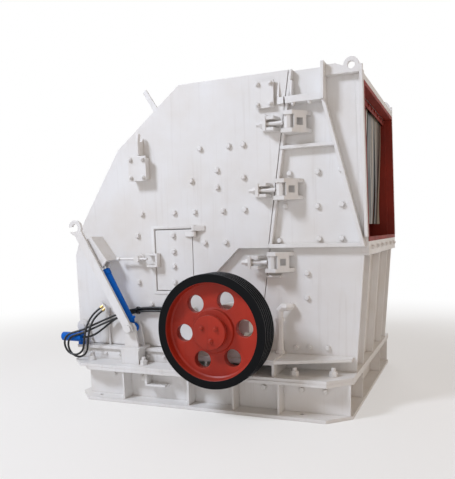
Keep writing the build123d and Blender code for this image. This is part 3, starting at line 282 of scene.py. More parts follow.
def addFloor(look):
    # matt pale paint near the object, running into the white backdrop further out
    bpy.ops.mesh.primitive_plane_add(size=look["size"], location=(0, 0, -look["drop"]))
    floor = bpy.context.object
    floor.name = "studioFloor"
    material, tree = newMaterial("matteFloorPaint")
    place = addNode(tree, "ShaderNodeTexCoord")
    reach = addNode(tree, "ShaderNodeVectorMath", {"operation": "LENGTH"}, {0: place.outputs["Object"]})
    out = addNode(tree, "ShaderNodeMapRange", {"interpolation_type": "SMOOTHSTEP"}, {
        "Value": reach.outputs["Value"], "From Min": look["near"], "From Max": look["far"],
        "To Min": look["lift"], "To Max": 1.0})
    seen = rayPart(tree, ("Is Camera Ray", "Is Glossy Ray"))
    part = addNode(tree, "ShaderNodeMath", {"operation": "MULTIPLY"}, {0: out.outputs[0], 1: seen})
    matt = addNode(tree, "ShaderNodeBsdfPrincipled", {}, {
        "Base Color": linearFromHex(look["colour"]), "Roughness": look["rough"],
        "Specular IOR Level": look["shine"]})
    glow = addNode(tree, "ShaderNodeEmission", {}, {"Color": white, "Strength": 1.0})
    both = addNode(tree, "ShaderNodeMixShader", {}, {0: part.outputs[0], 1: matt.outputs[0], 2: glow.outputs[0]})
    addNode(tree, "ShaderNodeOutputMaterial", {}, {"Surface": both.outputs[0]})
    dress(floor, material)


for name, lamp in lamps.items():
    addLamp(name, lamp)
addSky(skyLook)
addFloor(floorLook)
bpy.context.scene.view_settings.view_transform = "Standard"
print("light set")

# materials, each from what the real finish is, built from a few kinds of node; each noise as detail, roughness
noiseKinds = {"cloud": (4.0, 0.55), "run": (3.0, 0.5), "dust": (5.0, 0.65), "peel": (2.0, 0.5),
              "grain": (3.0, 0.5), "blotch": (5.0, 0.6), "wipe": (5.0, 0.6), "weave": (2.0, 0.5)}


def noiseOf(tree, vector, scale, kind):
    detail, rough = noiseKinds[kind]
    cloud = addNode(tree, "ShaderNodeTexNoise", {}, {"Vector": vector, "Scale": scale, "Detail": detail,
                                                    "Roughness": rough})
    return cloud.outputs["Fac"]


def stretched(tree, vector, scale):
    return addNode(tree, "ShaderNodeMapping", {}, {"Vector": vector, "Scale": scale}).outputs[0]


def ramp(tree, value, reach, low, high):
    # low where the value is at the reach's start, high where it is at its end
    spread = addNode(tree, "ShaderNodeMapRange", {}, {"Value": value, "From Min": reach[0], "From Max": reach[1],
                                                      "To Min": low, "To Max": high})
    return spread.outputs[0]


def blend(tree, part, first, second):
    # the second colour where the part is 1
    return addNode(tree, "ShaderNodeMix", {"data_type": "RGBA"}, {0: part, 6: first, 7: second}).outputs[2]


def endSurface(tree, sockets):
    surface = addNode(tree, "ShaderNodeBsdfPrincipled", {}, sockets)
    addNode(tree, "ShaderNodeOutputMaterial", {}, {"Surface": surface.outputs[0]})


# alkyd enamel sprayed on plate: a faint orange peel, soft clouds in the tone, dust on what faces up,
# thin run marks down the plates, a paler line on edges, partly wear and partly painted highlight, and painted
# shade in the corners
paintLooks = {
    "beigeEnamel": {  # off-white, on every plate of the housings and the base
        "base": "#E8E7E6", "shade": "#DFDAD4", "dust": "#E2DBD0", "edge": "#F4F3F1", "grimeAndShade": "#9C8A76",
        "rough": 0.42, "shine": 0.45, "peel": 0.00006, "cloudAmount": 0.7, "streak": 0.13, "dustAmount": 0.25},
    "redOxideEnamel": {  # the pulley's casting and hub
        "base": "#AE2D19", "shade": "#8A2518", "dust": "#9A5443", "edge": "#B8503A", "grimeAndShade": "#3E120C",
        "rough": 0.4, "shine": 0.3, "peel": 0.00005, "cloudAmount": 0.8, "streak": 0.2, "dustAmount": 0.3},
    "redPrimer": {  # matt, in the feed mouth
        "base": "#8E2A1B", "shade": "#6F1F14", "dust": "#C0705C", "edge": "#A2402F", "grimeAndShade": "#3A1410",
        "rough": 0.62, "shine": 0.3, "peel": 0.00008, "cloudAmount": 0.9, "streak": 0.3, "dustAmount": 0.9},
    "blackEnamel": {  # the pulley's rim and the hose straps
        "base": "#050609", "shade": "#060709", "dust": "#1E1D1C", "edge": "#2A2C31", "grimeAndShade": "#040405",
        "rough": 0.34, "shine": 0.12, "peel": 0.00004, "cloudAmount": 0.6, "streak": 0.15, "dustAmount": 0.25},
    "blueEnamel": {  # opening cylinders and accumulator
        "base": "#0067CC", "shade": "#0058B0", "dust": "#1F6FB8", "edge": "#1F7AD2", "grimeAndShade": "#06294F",
        "rough": 0.34, "shine": 0.15, "peel": 0.00004, "cloudAmount": 0.7, "streak": 0.2, "dustAmount": 0.25},
}
# sizes in metres
paintSizes = {"cloud": 0.42, "streakWide": 0.035, "streakLong": 0.7, "peel": 0.0035, "dustPatch": 0.09,
              "edgeRound": 0.005, "corner": 0.030}
paintSamples = {"edge": 4, "corner": 6}
# where each layer starts and where it is full, in the value that it is read from
paintReach = {"cloud": (0.38, 0.68), "streak": (0.56, 0.8), "upward": (0.5, 0.95), "patch": (0.35, 0.65),
              "edgeWearAndHighlight": (0.97, 0.8), "corner": (0.75, 0.2), "gloss": (0.3, 0.7)}
paintShares = {"thinDust": 0.3, "edgeWearAndHighlight": 0.6, "corner": 0.36, "smoother": 0.06, "rougher": 0.1, "peel": 0.6,
               "peelDeep": 10}


def makePaint(name, look):
    material, tree = newMaterial(name)
    place = addNode(tree, "ShaderNodeTexCoord")
    spot = place.outputs["Object"]
    grimeAndShade = linearFromHex(look["grimeAndShade"])
    clouds = noiseOf(tree, spot, 1 / paintSizes["cloud"], "cloud")
    cloudy = ramp(tree, clouds, paintReach["cloud"], 0.0, look["cloudAmount"])
    tone = blend(tree, cloudy, linearFromHex(look["base"]), linearFromHex(look["shade"]))
    # run marks: narrow across, long down the plate
    narrow, long = 1 / paintSizes["streakWide"], 1 / paintSizes["streakLong"]
    runs = noiseOf(tree, stretched(tree, spot, (narrow, narrow, long)), 1.0, "run")
    tone = blend(tree, ramp(tree, runs, paintReach["streak"], 0.0, look["streak"]), tone, grimeAndShade)
    # dust settles where the surface faces up
    facing = addNode(tree, "ShaderNodeSeparateXYZ", {}, {0: place.outputs["Normal"]})
    upward = ramp(tree, facing.outputs[2], paintReach["upward"], 0.0, look["dustAmount"])
    patches = noiseOf(tree, spot, 1 / paintSizes["dustPatch"], "dust")
    dusty = addNode(tree, "ShaderNodeMath", {"operation": "MULTIPLY"}, {
        0: upward, 1: ramp(tree, patches, paintReach["patch"], paintShares["thinDust"], 1.0)})
    tone = blend(tree, dusty.outputs[0], tone, linearFromHex(look["dust"]))
    # paler edges, partly wear and partly painted highlight where edges catch light: where a rounded normal leaves
    # the flat one
    rounded = addNode(tree, "ShaderNodeBevel", {"samples": paintSamples["edge"]},
                      {"Radius": paintSizes["edgeRound"]})
    flat = addNode(tree, "ShaderNodeNewGeometry")
    turn = addNode(tree, "ShaderNodeVectorMath", {"operation": "DOT_PRODUCT"},
                   {0: rounded.outputs[0], 1: flat.outputs["True Normal"]})
    edgeWearAndHighlight = ramp(tree, turn.outputs["Value"], paintReach["edgeWearAndHighlight"], 0.0, paintShares["edgeWearAndHighlight"])
    tone = blend(tree, edgeWearAndHighlight, tone, linearFromHex(look["edge"]))
    # painted shade in the grime's colour, darkest where surfaces close around: inside corners, round bolt heads
    # and along plate edges
    corners = addNode(tree, "ShaderNodeAmbientOcclusion", {"samples": paintSamples["corner"]},
                      {"Distance": paintSizes["corner"]})
    paintedCornerShade = ramp(tree, corners.outputs["AO"], paintReach["corner"], 0.0, paintShares["corner"])
    tone = blend(tree, paintedCornerShade, tone, grimeAndShade)
    gloss = ramp(tree, patches, paintReach["gloss"], look["rough"] - paintShares["smoother"],
                 look["rough"] + paintShares["rougher"])
    peel = noiseOf(tree, spot, 1 / paintSizes["peel"], "peel")
    bump = addNode(tree, "ShaderNodeBump", {}, {"Height": peel, "Strength": paintShares["peel"],
                   "Distance": look["peel"] * paintShares["peelDeep"], "Normal": rounded.outputs[0]})
    endSurface(tree, {"Base Color": tone, "Roughness": gloss, "Normal": bump.outputs[0],
                      "Specular IOR Level": look["shine"]})
    return material


# bare metals: turning lines on the shaft and brass hose ends, hard chrome on the piston rods and casting grain on
# the rotor and aprons, each with a film of oil and dust
metalLooks = {
    "turnedSteel": {"base": "#8E8B86", "stain": "#5F5148", "rough": 0.34, "grain": 0.0012, "bump": 0.0004,
                    "metallic": 1.0, "stretch": (1.0, 12.0, 1.0)},
    "hardChrome": {"base": "#C9CACC", "stain": "#8B8A88", "rough": 0.12, "grain": 0.0015, "bump": 0.0001,
                   "metallic": 1.0, "stretch": (1.0, 1.0, 1.0)},
    "castManganeseSteel": {"base": "#4A4541", "stain": "#6B4A37", "rough": 0.66, "grain": 0.004, "bump": 0.002,
                           "metallic": 0.6, "stretch": (1.0, 1.0, 1.0)},
    "turnedBrass": {"base": "#B39A66", "stain": "#7A6642", "rough": 0.36, "grain": 0.001, "bump": 0.0002,
                    "metallic": 1.0, "stretch": (1.0, 1.0, 1.0)},
}
metalFilm = {"blotch": 14.0, "reach": (0.5, 0.75), "amount": 0.7, "glossReach": (0.35, 0.7), "rougher": 0.22,
             "bump": 0.5}


def makeMetal(name, look):
    material, tree = newMaterial(name)
    spot = addNode(tree, "ShaderNodeTexCoord").outputs["Object"]
    grain = noiseOf(tree, stretched(tree, spot, look["stretch"]), 1 / look["grain"], "grain")
    blotch = noiseOf(tree, spot, metalFilm["blotch"], "blotch")
    stained = ramp(tree, blotch, metalFilm["reach"], 0.0, metalFilm["amount"])
    tone = blend(tree, stained, linearFromHex(look["base"]), linearFromHex(look["stain"]))
    gloss = ramp(tree, blotch, metalFilm["glossReach"], look["rough"], look["rough"] + metalFilm["rougher"])
    bump = addNode(tree, "ShaderNodeBump", {}, {"Height": grain, "Strength": metalFilm["bump"],
                                                "Distance": look["bump"]})
    endSurface(tree, {"Base Color": tone, "Roughness": gloss, "Normal": bump.outputs[0],
                      "Metallic": look["metallic"]})
    return material


# rubber: hose cover with a fine cloth mark, and belting greyed in long pale wipes, partly rock dust and partly
# painted sheen of light on the strips
rubberLooks = {
    "hoseCover": {"base": "#08080A", "dust": "#1C1B1A", "rough": 0.36, "wipe": (40.0, 40.0, 40.0), "amount": 0.4},
    "beltingDustAndSheen": {"base": "#161412", "dust": "#C9BEA9", "rough": 0.38, "wipe": (8.0, 18.0, 0.5),
                     "amount": 0.85},
}
rubberSkin = {"reach": (0.47, 0.6), "weave": 500.0, "bump": 0.4, "deep": 0.0008}


def makeRubber(name, look):
    material, tree = newMaterial(name)
    spot = addNode(tree, "ShaderNodeTexCoord").outputs["Object"]
    # pale wipes: dust on the hose; on the belting, dust and painted sheen together
    wipes = noiseOf(tree, stretched(tree, spot, look["wipe"]), 1.0, "wipe")
    dusty = ramp(tree, wipes, rubberSkin["reach"], 0.0, look["amount"])
    tone = blend(tree, dusty, linearFromHex(look["base"]), linearFromHex(look["dust"]))
    bump = addNode(tree, "ShaderNodeBump", {}, {"Height": noiseOf(tree, spot, rubberSkin["weave"], "weave"),
                   "Strength": rubberSkin["bump"], "Distance": rubberSkin["deep"]})
    endSurface(tree, {"Base Color": tone, "Roughness": look["rough"], "Normal": bump.outputs[0]})
    return material


finishes = {name: makePaint(name, look) for name, look in paintLooks.items()}
finishes.update({name: makeMetal(name, look) for name, look in metalLooks.items()})
finishes.update({name: makeRubber(name, look) for name, look in rubberLooks.items()})
slotFinish = {
    "beige_paint": "beigeEnamel", "red_primer": "redPrimer", "oxide_red_paint": "redOxideEnamel",
    "machined_steel": "turnedSteel", "chromed_rod": "hardChrome", "cast_steel": "castManganeseSteel",
    "black_paint": "blackEnamel", "belting_rubber": "beltingDustAndSheen", "blue_paint": "blueEnamel",
    "brass": "turnedBrass", "hose_rubber": "hoseCover",
}
for label, node in nodes.items():
    dress(node, finishes[slotFinish[nodeSlots[label]]])
dress(nodes["clamp_bolts"], finishes["beigeEnamel"])  # painted over in place, as the photograph shows
for hose in hoses:
    dress(hose, finishes["hoseCover"])
print("materials made:", len(finishes))

# bolts: a chamfered hexagon on a washer, modelled once and copied
boltLook = {"across": 0.036, "head": 0.017, "washerRadius": 0.0245, "washer": 0.004, "chamfer": 0.0032}
boltSides = {"head": 6, "washer": 16, "stud": 14}
# alike for every size: shares of the chamfer, of the washer's height and of the width across the flats
boltShares = {"slope": 0.6, "washerEdge": 0.3, "washerSlope": 0.2, "stud": 0.31, "studEdge": 0.05,
              "studSlope": 0.04}
boltTurn = 17.0  # degrees from each bolt to the next
topLimit = 0.9  # a face whose normal's Z is over this is a top


def toppedPrism(sides, radius, low, tall, insets):
    # its top face is set in once for each width and depth
    bpy.ops.mesh.primitive_cylinder_add(vertices=sides, radius=radius, depth=tall, location=(0, 0, low + tall / 2))
    prism = bpy.context.object
    bpy.ops.object.transform_apply(location=True)
    selectFaces(prism, lambda face: face.normal.z > topLimit)
    for width, depth in insets:
        bpy.ops.mesh.inset(thickness=width, depth=depth)
    bpy.ops.object.mode_set(mode="OBJECT")
    return prism


def hexBolt(look, stud=0.0):
    across, washer, chamfer = look["across"], look["washer"], look["chamfer"]
    parts = [
        toppedPrism(boltSides["head"], across / 2 / cos(pi / 6), washer, look["head"],
                    ((chamfer, chamfer * boltShares["slope"]), (chamfer, 0.0))),
        toppedPrism(boltSides["washer"], look["washerRadius"], 0.0, washer,
                    ((washer * boltShares["washerEdge"], washer * boltShares["washerSlope"]),))]
    if stud:
        parts.append(toppedPrism(boltSides["stud"], across * boltShares["stud"], washer + look["head"], stud,
                                 ((across * boltShares["studEdge"], across * boltShares["studSlope"]),)))
    return joinAll("boltPattern", parts)


def placeCopies(name, pattern, places, body, finish):
    # places are (point, direction that the head faces)
    copies = []
    for index, (point, facing) in enumerate(places):
        copy = pattern.copy()
        copy.data = pattern.data.copy()
        bpy.context.collection.objects.link(copy)
        spin = Matrix.Rotation(radians(boltTurn * index), 4, "Z")
        turned = Vector(facing).to_track_quat("Z", "Y").to_matrix().to_4x4()
        copy.data.transform(Matrix.Translation(point) @ turned @ spin)
        copies.append(copy)
    joined = joinAll(name, copies)
    dress(joined, finishes[finish])
    for face in joined.data.polygons:
        face.use_smooth = False
    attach(joined, body)


# outer faces of the rear housing's walls, of the walls under and beside the mouth, and of the base's webs
wallY = 0.840
recessY = 0.790
baseWebY = 1.000
boltRows = {
    "rearLinerBolts": {"body": "rear_housing", "y": wallY, "spots": [
        (0.022, 2.067), (0.270, 2.068), (0.392, 2.071), (0.165, 1.890), (0.390, 1.824), (-0.062, 1.821),
        (0.162, 1.759), (-0.539, 1.572), (-0.231, 1.572), (-0.043, 1.571), (0.208, 1.572), (0.394, 1.574),
        (-0.590, 1.392), (0.039, 1.320), (0.226, 1.321), (-0.601, 0.993), (-0.484, 0.801), (0.574, 2.253)]},
    "feedLinerBolts": {"body": "root", "y": recessY, "spots": [
        (0.748, 1.831), (0.967, 1.832), (1.143, 1.837), (0.713, 1.589), (0.965, 1.578), (1.149, 1.585),
        (0.660, 1.326), (0.977, 1.333), (1.150, 1.334)]},
    "lowerWallBolts": {"body": "root", "y": recessY, "spots": [
        (0.881, 1.071), (0.878, 0.880), (0.789, 0.481), (0.894, 0.487), (1.038, 0.490),
        (-0.919, 0.365), (-0.774, 0.365), (-0.632, 0.365), (-0.493, 0.365)]},
    "baseWebBolts": {"body": "root", "y": baseWebY, "spots": [
        (0.584, 0.199), (0.888, 0.202), (1.071, 0.202), (-0.793, 0.209)]},
}
doorBoltLook = {"x": -0.250, "z": (1.387, 1.253, 1.131, 0.996)}
pattern = hexBolt(boltLook)
for name, row in boltRows.items():
    places = [((x, side * row["y"], z), (0, side, 0)) for side in (-1, 1) for x, z in row["spots"]]
    placeCopies(name, pattern, places, row["body"], "beigeEnamel")
for side, body in ((-1, "door_near"), (1, "door_far")):
    places = [((doorBoltLook["x"], side * wallY, z), (0, side, 0)) for z in doorBoltLook["z"]]
    placeCopies(body.replace("_", "") + "Bolts", pattern, places, body, "beigeEnamel")
print("wall bolts placed")


# turned pieces: a ring is drawn at the first point, then extruded and resized to each next one
def turnedPiece(name, points, sides, closed):
    # points are (radius, distance along the axis), and the axis is +Z until the piece is placed
    deselectAll()
    bpy.ops.mesh.primitive_circle_add(vertices=sides, radius=points[0][0], fill_type="NOTHING",
                                      location=(0, 0, points[0][1]))
    piece = bpy.context.object
    piece.name = name
    bpy.ops.object.transform_apply(location=True)
    bpy.ops.object.mode_set(mode="EDIT")
    bpy.ops.mesh.select_mode(type="EDGE")
    bpy.ops.mesh.select_all(action="SELECT")
    for (before, low), (radius, high) in zip(points, points[1:]):
        bpy.ops.mesh.extrude_region_move(TRANSFORM_OT_translate={"value": (0, 0, high - low)})
        bpy.ops.transform.resize(value=(radius / before, radius / before, 1), center_override=(0, 0, high))
    bpy.ops.mesh.select_all(action="DESELECT")
    bpy.ops.mesh.select_non_manifold()
    if closed:
        bpy.ops.mesh.bridge_edge_loops()
    else:
        bpy.ops.mesh.fill_holes(sides=0)
    turnFacesOut()
    return piece


def settle(piece, body, finish, smooth=32):
    makeActive(piece)
    bpy.ops.object.shade_smooth_by_angle(angle=radians(smooth))
    dress(piece, finishes[finish])
    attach(piece, body)


sideNames = {-1: "Near", 1: "Far"}
outwards = Matrix.Rotation(pi / 2, 4, "X")  # turns +Z to -Y, the pulley side

# the belt pulley: a grooved rim in black, a red casting inside it with six round holes, and the hub's cap
pulleyShaft = (0.305, 0.682)
pulleyCentre = Matrix.Translation((pulleyShaft[0], 0, pulleyShaft[1])) @ outwards
rimLook = {"back": 1.180, "front": 1.380, "outer": 0.428, "inner": 0.366, "sides": 128, "edge": 0.004,
           "smooth": 25, "grooves": 5, "land": 0.010, "grooveTop": 0.026, "grooveFoot": 0.011, "grooveDeep": 0.016}


def addGroovedRim(look):
    outer, inner, back, front, edge = (look[key] for key in ("outer", "inner", "back", "front", "edge"))
    floor, top, foot = outer - look["grooveDeep"], look["grooveTop"] / 2, look["grooveFoot"] / 2
    profile = [(inner, back), (outer - edge, back), (outer, back + edge)]
    pitch = (front - back - 2 * look["land"]) / look["grooves"]
    for index in range(look["grooves"]):
        middle = back + look["land"] + (index + 0.5) * pitch
        profile += [(outer, middle - top), (floor, middle - foot), (floor, middle + foot), (outer, middle + top)]
    profile += [(outer, front - edge), (outer - edge, front), (inner, front)]
    band = turnedPiece("pulleyGroovedRim", profile, look["sides"], True)
    band.data.transform(pulleyCentre)
    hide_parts("pulley_rim")
    settle(band, "rotor", "blackEnamel", look["smooth"])


# profiles are (radius, distance out from the middle plane)
castingLook = {
    "profile": [
        (0.080, 1.180), (0.150, 1.180), (0.150, 1.233), (0.160, 1.245), (0.345, 1.245), (0.362, 1.228),
        (0.362, 1.190), (0.368, 1.184), (0.368, 1.377), (0.362, 1.374), (0.362, 1.326), (0.357, 1.313),
        (0.345, 1.305), (0.182, 1.305), (0.168, 1.309), (0.164, 1.318), (0.164, 1.332), (0.160, 1.336),
        (0.116, 1.336), (0.116, 1.366), (0.080, 1.366)],
    "sides": 128, "holes": 6, "holeRadius": 0.067, "holeCircle": 0.245, "firstHole": 6, "holeSides": 48,
    "drillLong": 0.2, "drillMiddle": 1.275, "soft": 0.0025, "softAngle": 50, "smooth": 28}


def addRedCasting(look):
    casting = turnedPiece("pulleyRedCasting", look["profile"], look["sides"], True)
    for index in range(look["holes"]):
        turn = radians(look["firstHole"] + 360 / look["holes"] * index)
        deselectAll()
        bpy.ops.mesh.primitive_cylinder_add(
            vertices=look["holeSides"], radius=look["holeRadius"], depth=look["drillLong"],
            location=(look["holeCircle"] * cos(turn), look["holeCircle"] * sin(turn), look["drillMiddle"]))
        drill = bpy.context.object
        hole = casting.modifiers.new("hole", "BOOLEAN")
        hole.object = drill
        makeActive(casting)
        bpy.ops.object.modifier_apply(modifier=hole.name)
        bpy.data.objects.remove(drill)
    soften(casting, look["soft"], 2, look["softAngle"])
    casting.data.transform(pulleyCentre)
    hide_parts("pulley_web")
    settle(casting, "rotor", "redOxideEnamel", look["smooth"])


capLook = {"profile": [(0.128, 1.366), (0.128, 1.392), (0.1265, 1.3965), (0.122, 1.398), (0.050, 1.398)],
           "sides": 96, "smooth": 28}


def addHubCap(look):
    cap = turnedPiece("pulleyHubCap", look["profile"], look["sides"], False)
    cap.data.transform(pulleyCentre)
    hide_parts("hub_cap")
    settle(cap, "rotor", "redOxideEnamel", look["smooth"])


addGroovedRim(rimLook)
addRedCasting(castingLook)
addHubCap(capLook)
print("pulley turned")

# cap bolts on the hub
capBoltLook = {"across": 0.030, "head": 0.013, "washerRadius": 0.021, "washer": 0.003, "chamfer": 0.0025}
capBoltRing = {"stud": 0.008, "radius": 0.064, "out": 1.398, "turns": (29, 150, 283)}
capPattern = hexBolt(capBoltLook, stud=capBoltRing["stud"])
capPlaces = [((pulleyShaft[0] + capBoltRing["radius"] * cos(radians(turn)), -capBoltRing["out"],
               pulleyShaft[1] + capBoltRing["radius"] * sin(radians(turn))), (0, -1, 0))
             for turn in capBoltRing["turns"]]
placeCopies("hubCapBolts", capPattern, capPlaces, "rotor", "redOxideEnamel")

# big nuts on the lower flange
nutLook = {"across": 0.055, "head": 0.030, "washerRadius": 0.036, "washer": 0.006, "chamfer": 0.005}
nutRows = {"stud": 0.026, "spots": ((-1.032, 0.985), (-0.482, 1.020), (0.837, 1.020), (1.120, 0.960))}
nutPattern = hexBolt(nutLook, stud=nutRows["stud"])
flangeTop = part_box("lower_flange")[1][2]
nutPlaces = [((x, side * y, flangeTop), (0, 0, 1)) for side in (-1, 1) for x, y in nutRows["spots"]]
placeCopies("flangeNuts", nutPattern, nutPlaces, "root", "beigeEnamel")

# smaller bolts: the pivot boxes' covers, the ledge's upright plate, the plate under the mouth and the shelf
smallBoltLook = {"across": 0.028, "head": 0.013, "washerRadius": 0.019, "washer": 0.003, "chamfer": 0.0025}
smallBoltStud = 0.006
smallPattern = hexBolt(smallBoltLook, stud=smallBoltStud)
# middle, half the distances between the bolts, and how far out the cover's face lies
covers = (((0.580, 2.416), (0.050, 0.074), 0.874), ((-0.522, 1.940), (0.058, 0.072), 0.920))
coverPlaces = [((x + i * halfWide, side * out, z + j * halfTall), (0, side, 0))
               for (x, z), (halfWide, halfTall), out in covers
               for side in (-1, 1) for i in (-1, 1) for j in (-1, 1)]
placeCopies("pivotCoverBolts", smallPattern, coverPlaces, "rear_housing", "beigeEnamel")
skirtLook = {"start": -1.180, "end": -0.170, "out": 0.908, "thick": 0.012, "low": 0.3105, "high": 0.4055,
             "soft": 0.002, "boltZ": 0.360, "boltX": (-1.080, -0.935, -0.790, -0.500, -0.345)}


def addLedgeSkirt(side, look):
    # upright plate that closes the ledge below, between its ribs
    start, end, low, high, thick = (look[key] for key in ("start", "end", "low", "high", "thick"))
    middle = ((start + end) / 2, side * (look["out"] - thick / 2), (low + high) / 2)
    skirt = softBox("ledgeSkirt" + sideNames[side], middle, (end - start, thick, high - low), look["soft"])
    settle(skirt, "root", "beigeEnamel")


addLedgeSkirt(-1, skirtLook)
addLedgeSkirt(1, skirtLook)
ledgePlaces = [((x, side * skirtLook["out"], skirtLook["boltZ"]), (0, side, 0))
               for side in (-1, 1) for x in skirtLook["boltX"]]
placeCopies("ledgeBolts", smallPattern, ledgePlaces, "root", "beigeEnamel")
mouthPlate = {"x": 1.3478, "z": 1.262, "facing": (1, 0, 0.039), "spots": (-0.65, -0.39, -0.13, 0.13, 0.39, 0.65)}
shelfUnderside = {"y": 0.856, "z": 2.335, "spots": (0.800, 0.925)}
mouthPlaces = [((mouthPlate["x"], y, mouthPlate["z"]), mouthPlate["facing"]) for y in mouthPlate["spots"]]
mouthPlaces += [((x, side * shelfUnderside["y"], shelfUnderside["z"]), (0, 0, -1))
                for side in (-1, 1) for x in shelfUnderside["spots"]]
placeCopies("mouthPlateBolts", smallPattern, mouthPlaces, "root", "beigeEnamel")
for spare in (pattern, capPattern, nutPattern, smallPattern):
    bpy.data.objects.remove(spare)
print("nuts placed")

# opening cylinders: a drawn tube with a gland, a base, an eye and two ports
barrelLook = {
    "foot": (-0.605, 0.955, 0.615), "head": (-0.900, 0.955, 1.180),
    "profile": [
        (0.020, 0.034), (0.026, 0.038), (0.032, 0.052), (0.034, 0.056), (0.034, 0.080), (0.036, 0.083),
        (0.036, 0.104), (0.033, 0.108), (0.033, 0.508), (0.037, 0.511), (0.037, 0.552), (0.034, 0.558),
        (0.024, 0.560), (0.0185, 0.560)],
    "sides": 48, "eye": 0.040, "eyeHalf": 0.022, "eyeEdge": 0.003,
    "ports": ((0.076, 1), (0.530, -1)),  # distance from the foot, and up or down
    "portProfile": [(0.015, 0.026), (0.015, 0.046), (0.012, 0.049), (0.009, 0.049), (0.009, 0.056),
                    (0.006, 0.058)],
    "portSides": 24}


def addBarrel(look, side, body, label):
    foot, head = (Vector((x, side * y, z)) for x, y, z in (look["foot"], look["head"]))
    along = (head - foot).normalized()
    shell = turnedPiece("shell", look["profile"], look["sides"], False)
    shell.data.transform(Matrix.Translation(foot) @ along.to_track_quat("Z", "Y").to_matrix().to_4x4())
    radius, half, edge = look["eye"], look["eyeHalf"], look["eyeEdge"]
    eye = turnedPiece("eye", [(radius - edge, -half), (radius, edge - half), (radius, half - edge),
                              (radius - edge, half)], look["sides"], False)
    eye.data.transform(Matrix.Translation(foot) @ outwards)
    parts = [shell, eye]
    across = Vector((0, 1, 0)).cross(along).normalized()
    for distance, turn in look["ports"]:
        port = turnedPiece("port", look["portProfile"], look["portSides"], False)
        aim = (across * turn).to_track_quat("Z", "Y").to_matrix().to_4x4()
        port.data.transform(Matrix.Translation(foot + along * distance) @ aim)
        parts.append(port)
    barrel = joinAll("cylinderTube" + sideNames[side], parts)
    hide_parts(label)
    settle(barrel, body, "blueEnamel")


addBarrel(barrelLook, -1, "barrel_near", "cylinder_barrel_near")
addBarrel(barrelLook, 1, "barrel_far", "cylinder_barrel_far")
accumulatorLook = {
    "start": (-1.3405, -0.972, 0.508), "sides": 64,
    "profile": [(0.012, 0.0), (0.030, 0.0), (0.0384, 0.004), (0.0404, 0.010), (0.0404, 0.196), (0.0384, 0.202),
                (0.030, 0.206)]}


def addAccumulatorShell(look):
    shell = turnedPiece("accumulatorShell", look["profile"], look["sides"], False)
    shell.data.transform(Matrix.Translation(look["start"]) @ Matrix.Rotation(pi / 2, 4, "Y"))
    settle(shell, "root", "blueEnamel")


addAccumulatorShell(accumulatorLook)
print("cylinders turned")

# the mouth's red lining: a folded frame over the opening's four reveals and round its front edge
liningLook = {"foot": (1.3449, 1.3375), "head": (1.3032, 2.4225), "half": 0.7625, "deep": 0.066, "rim": 0.030,
              "plate": 0.003, "proud": 0.0005}


def addMouthLining(look):
    # drawn flat about the origin, its length along X, then stood up in the sloping opening
    foot, head = (Vector((x, 0, z)) for x, z in (look["foot"], look["head"]))
    tall = (head - foot).length
    deselectAll()
    bpy.ops.mesh.primitive_plane_add(size=1)
    lining = bpy.context.object
    lining.name = "mouthRedLining"
    bpy.ops.object.mode_set(mode="EDIT")
    bpy.ops.mesh.select_all(action="SELECT")
    bpy.ops.transform.resize(value=(tall, 2 * look["half"], 1), center_override=(0, 0, 0))
    bpy.ops.mesh.delete(type="ONLY_FACE")
    bpy.ops.mesh.select_mode(type="EDGE")
    bpy.ops.mesh.select_all(action="SELECT")
    bpy.ops.mesh.extrude_region_move(TRANSFORM_OT_translate={"value": (0, 0, -look["deep"])})
    bpy.ops.object.mode_set(mode="OBJECT")
    # only the four front edges, at Z 0, stay selected for the rim
    points = lining.data.vertices
    for point in points:
        point.select = point.co.z > -look["deep"] / 2
    for edge in lining.data.edges:
        edge.select = all(points[v].select for v in edge.vertices)
    for face in lining.data.polygons:
        face.select = False
    bpy.ops.object.mode_set(mode="EDIT")
    bpy.ops.mesh.extrude_region_move(TRANSFORM_OT_translate={"value": (0, 0, 0)})
    bpy.ops.transform.resize(value=(1 + 2 * look["rim"] / tall, 1 + look["rim"] / look["half"], 1),
                             center_override=(0, 0, 0))
    turnFacesOut()
    thicken(lining, look["plate"])
    up = (head - foot).normalized()
    sideways = Vector((0, 1, 0))
    out = up.cross(sideways)
    if out.x < 0:
        sideways, out = -sideways, -out
    standing = Matrix((up, sideways, out)).transposed().to_4x4()
    lining.data.transform(Matrix.Translation((foot + head) / 2 + out * look["proud"]) @ standing)
    settle(lining, "root", "redPrimer")


addMouthLining(liningLook)
railLook = {"middle": (1.228, 0, 2.396), "size": (0.010, 1.480, 0.048), "soft": 0.0015, "heads": 9, "headSides": 6,
            "headRadius": 0.013, "headTall": 0.010, "headX": 1.238, "firstHead": -0.66, "pitch": 0.165}


def addCurtainRail(look):
    # the bar that clamps the strips' upper ends, with its bolts
    parts = [softBox("rail", look["middle"], look["size"], look["soft"])]
    for index in range(look["heads"]):
        bpy.ops.mesh.primitive_cylinder_add(
            vertices=look["headSides"], radius=look["headRadius"], depth=look["headTall"], rotation=(0, pi / 2, 0),
            location=(look["headX"], look["firstHead"] + look["pitch"] * index, look["middle"][2]))
        bpy.ops.object.transform_apply(location=True, rotation=True)
        parts.append(bpy.context.object)
    settle(joinAll("curtainClampRail", parts), "root", "redPrimer")


addCurtainRail(railLook)
print("mouth lined")

# flat bar welded round each door's opening, open at the hinge
doorFrameLook = {"middle": (-0.2475, 1.179), "halfWide": 0.1815, "halfTall": 0.263, "wide": 0.026, "proud": 0.005,
                 "soft": 0.0012}


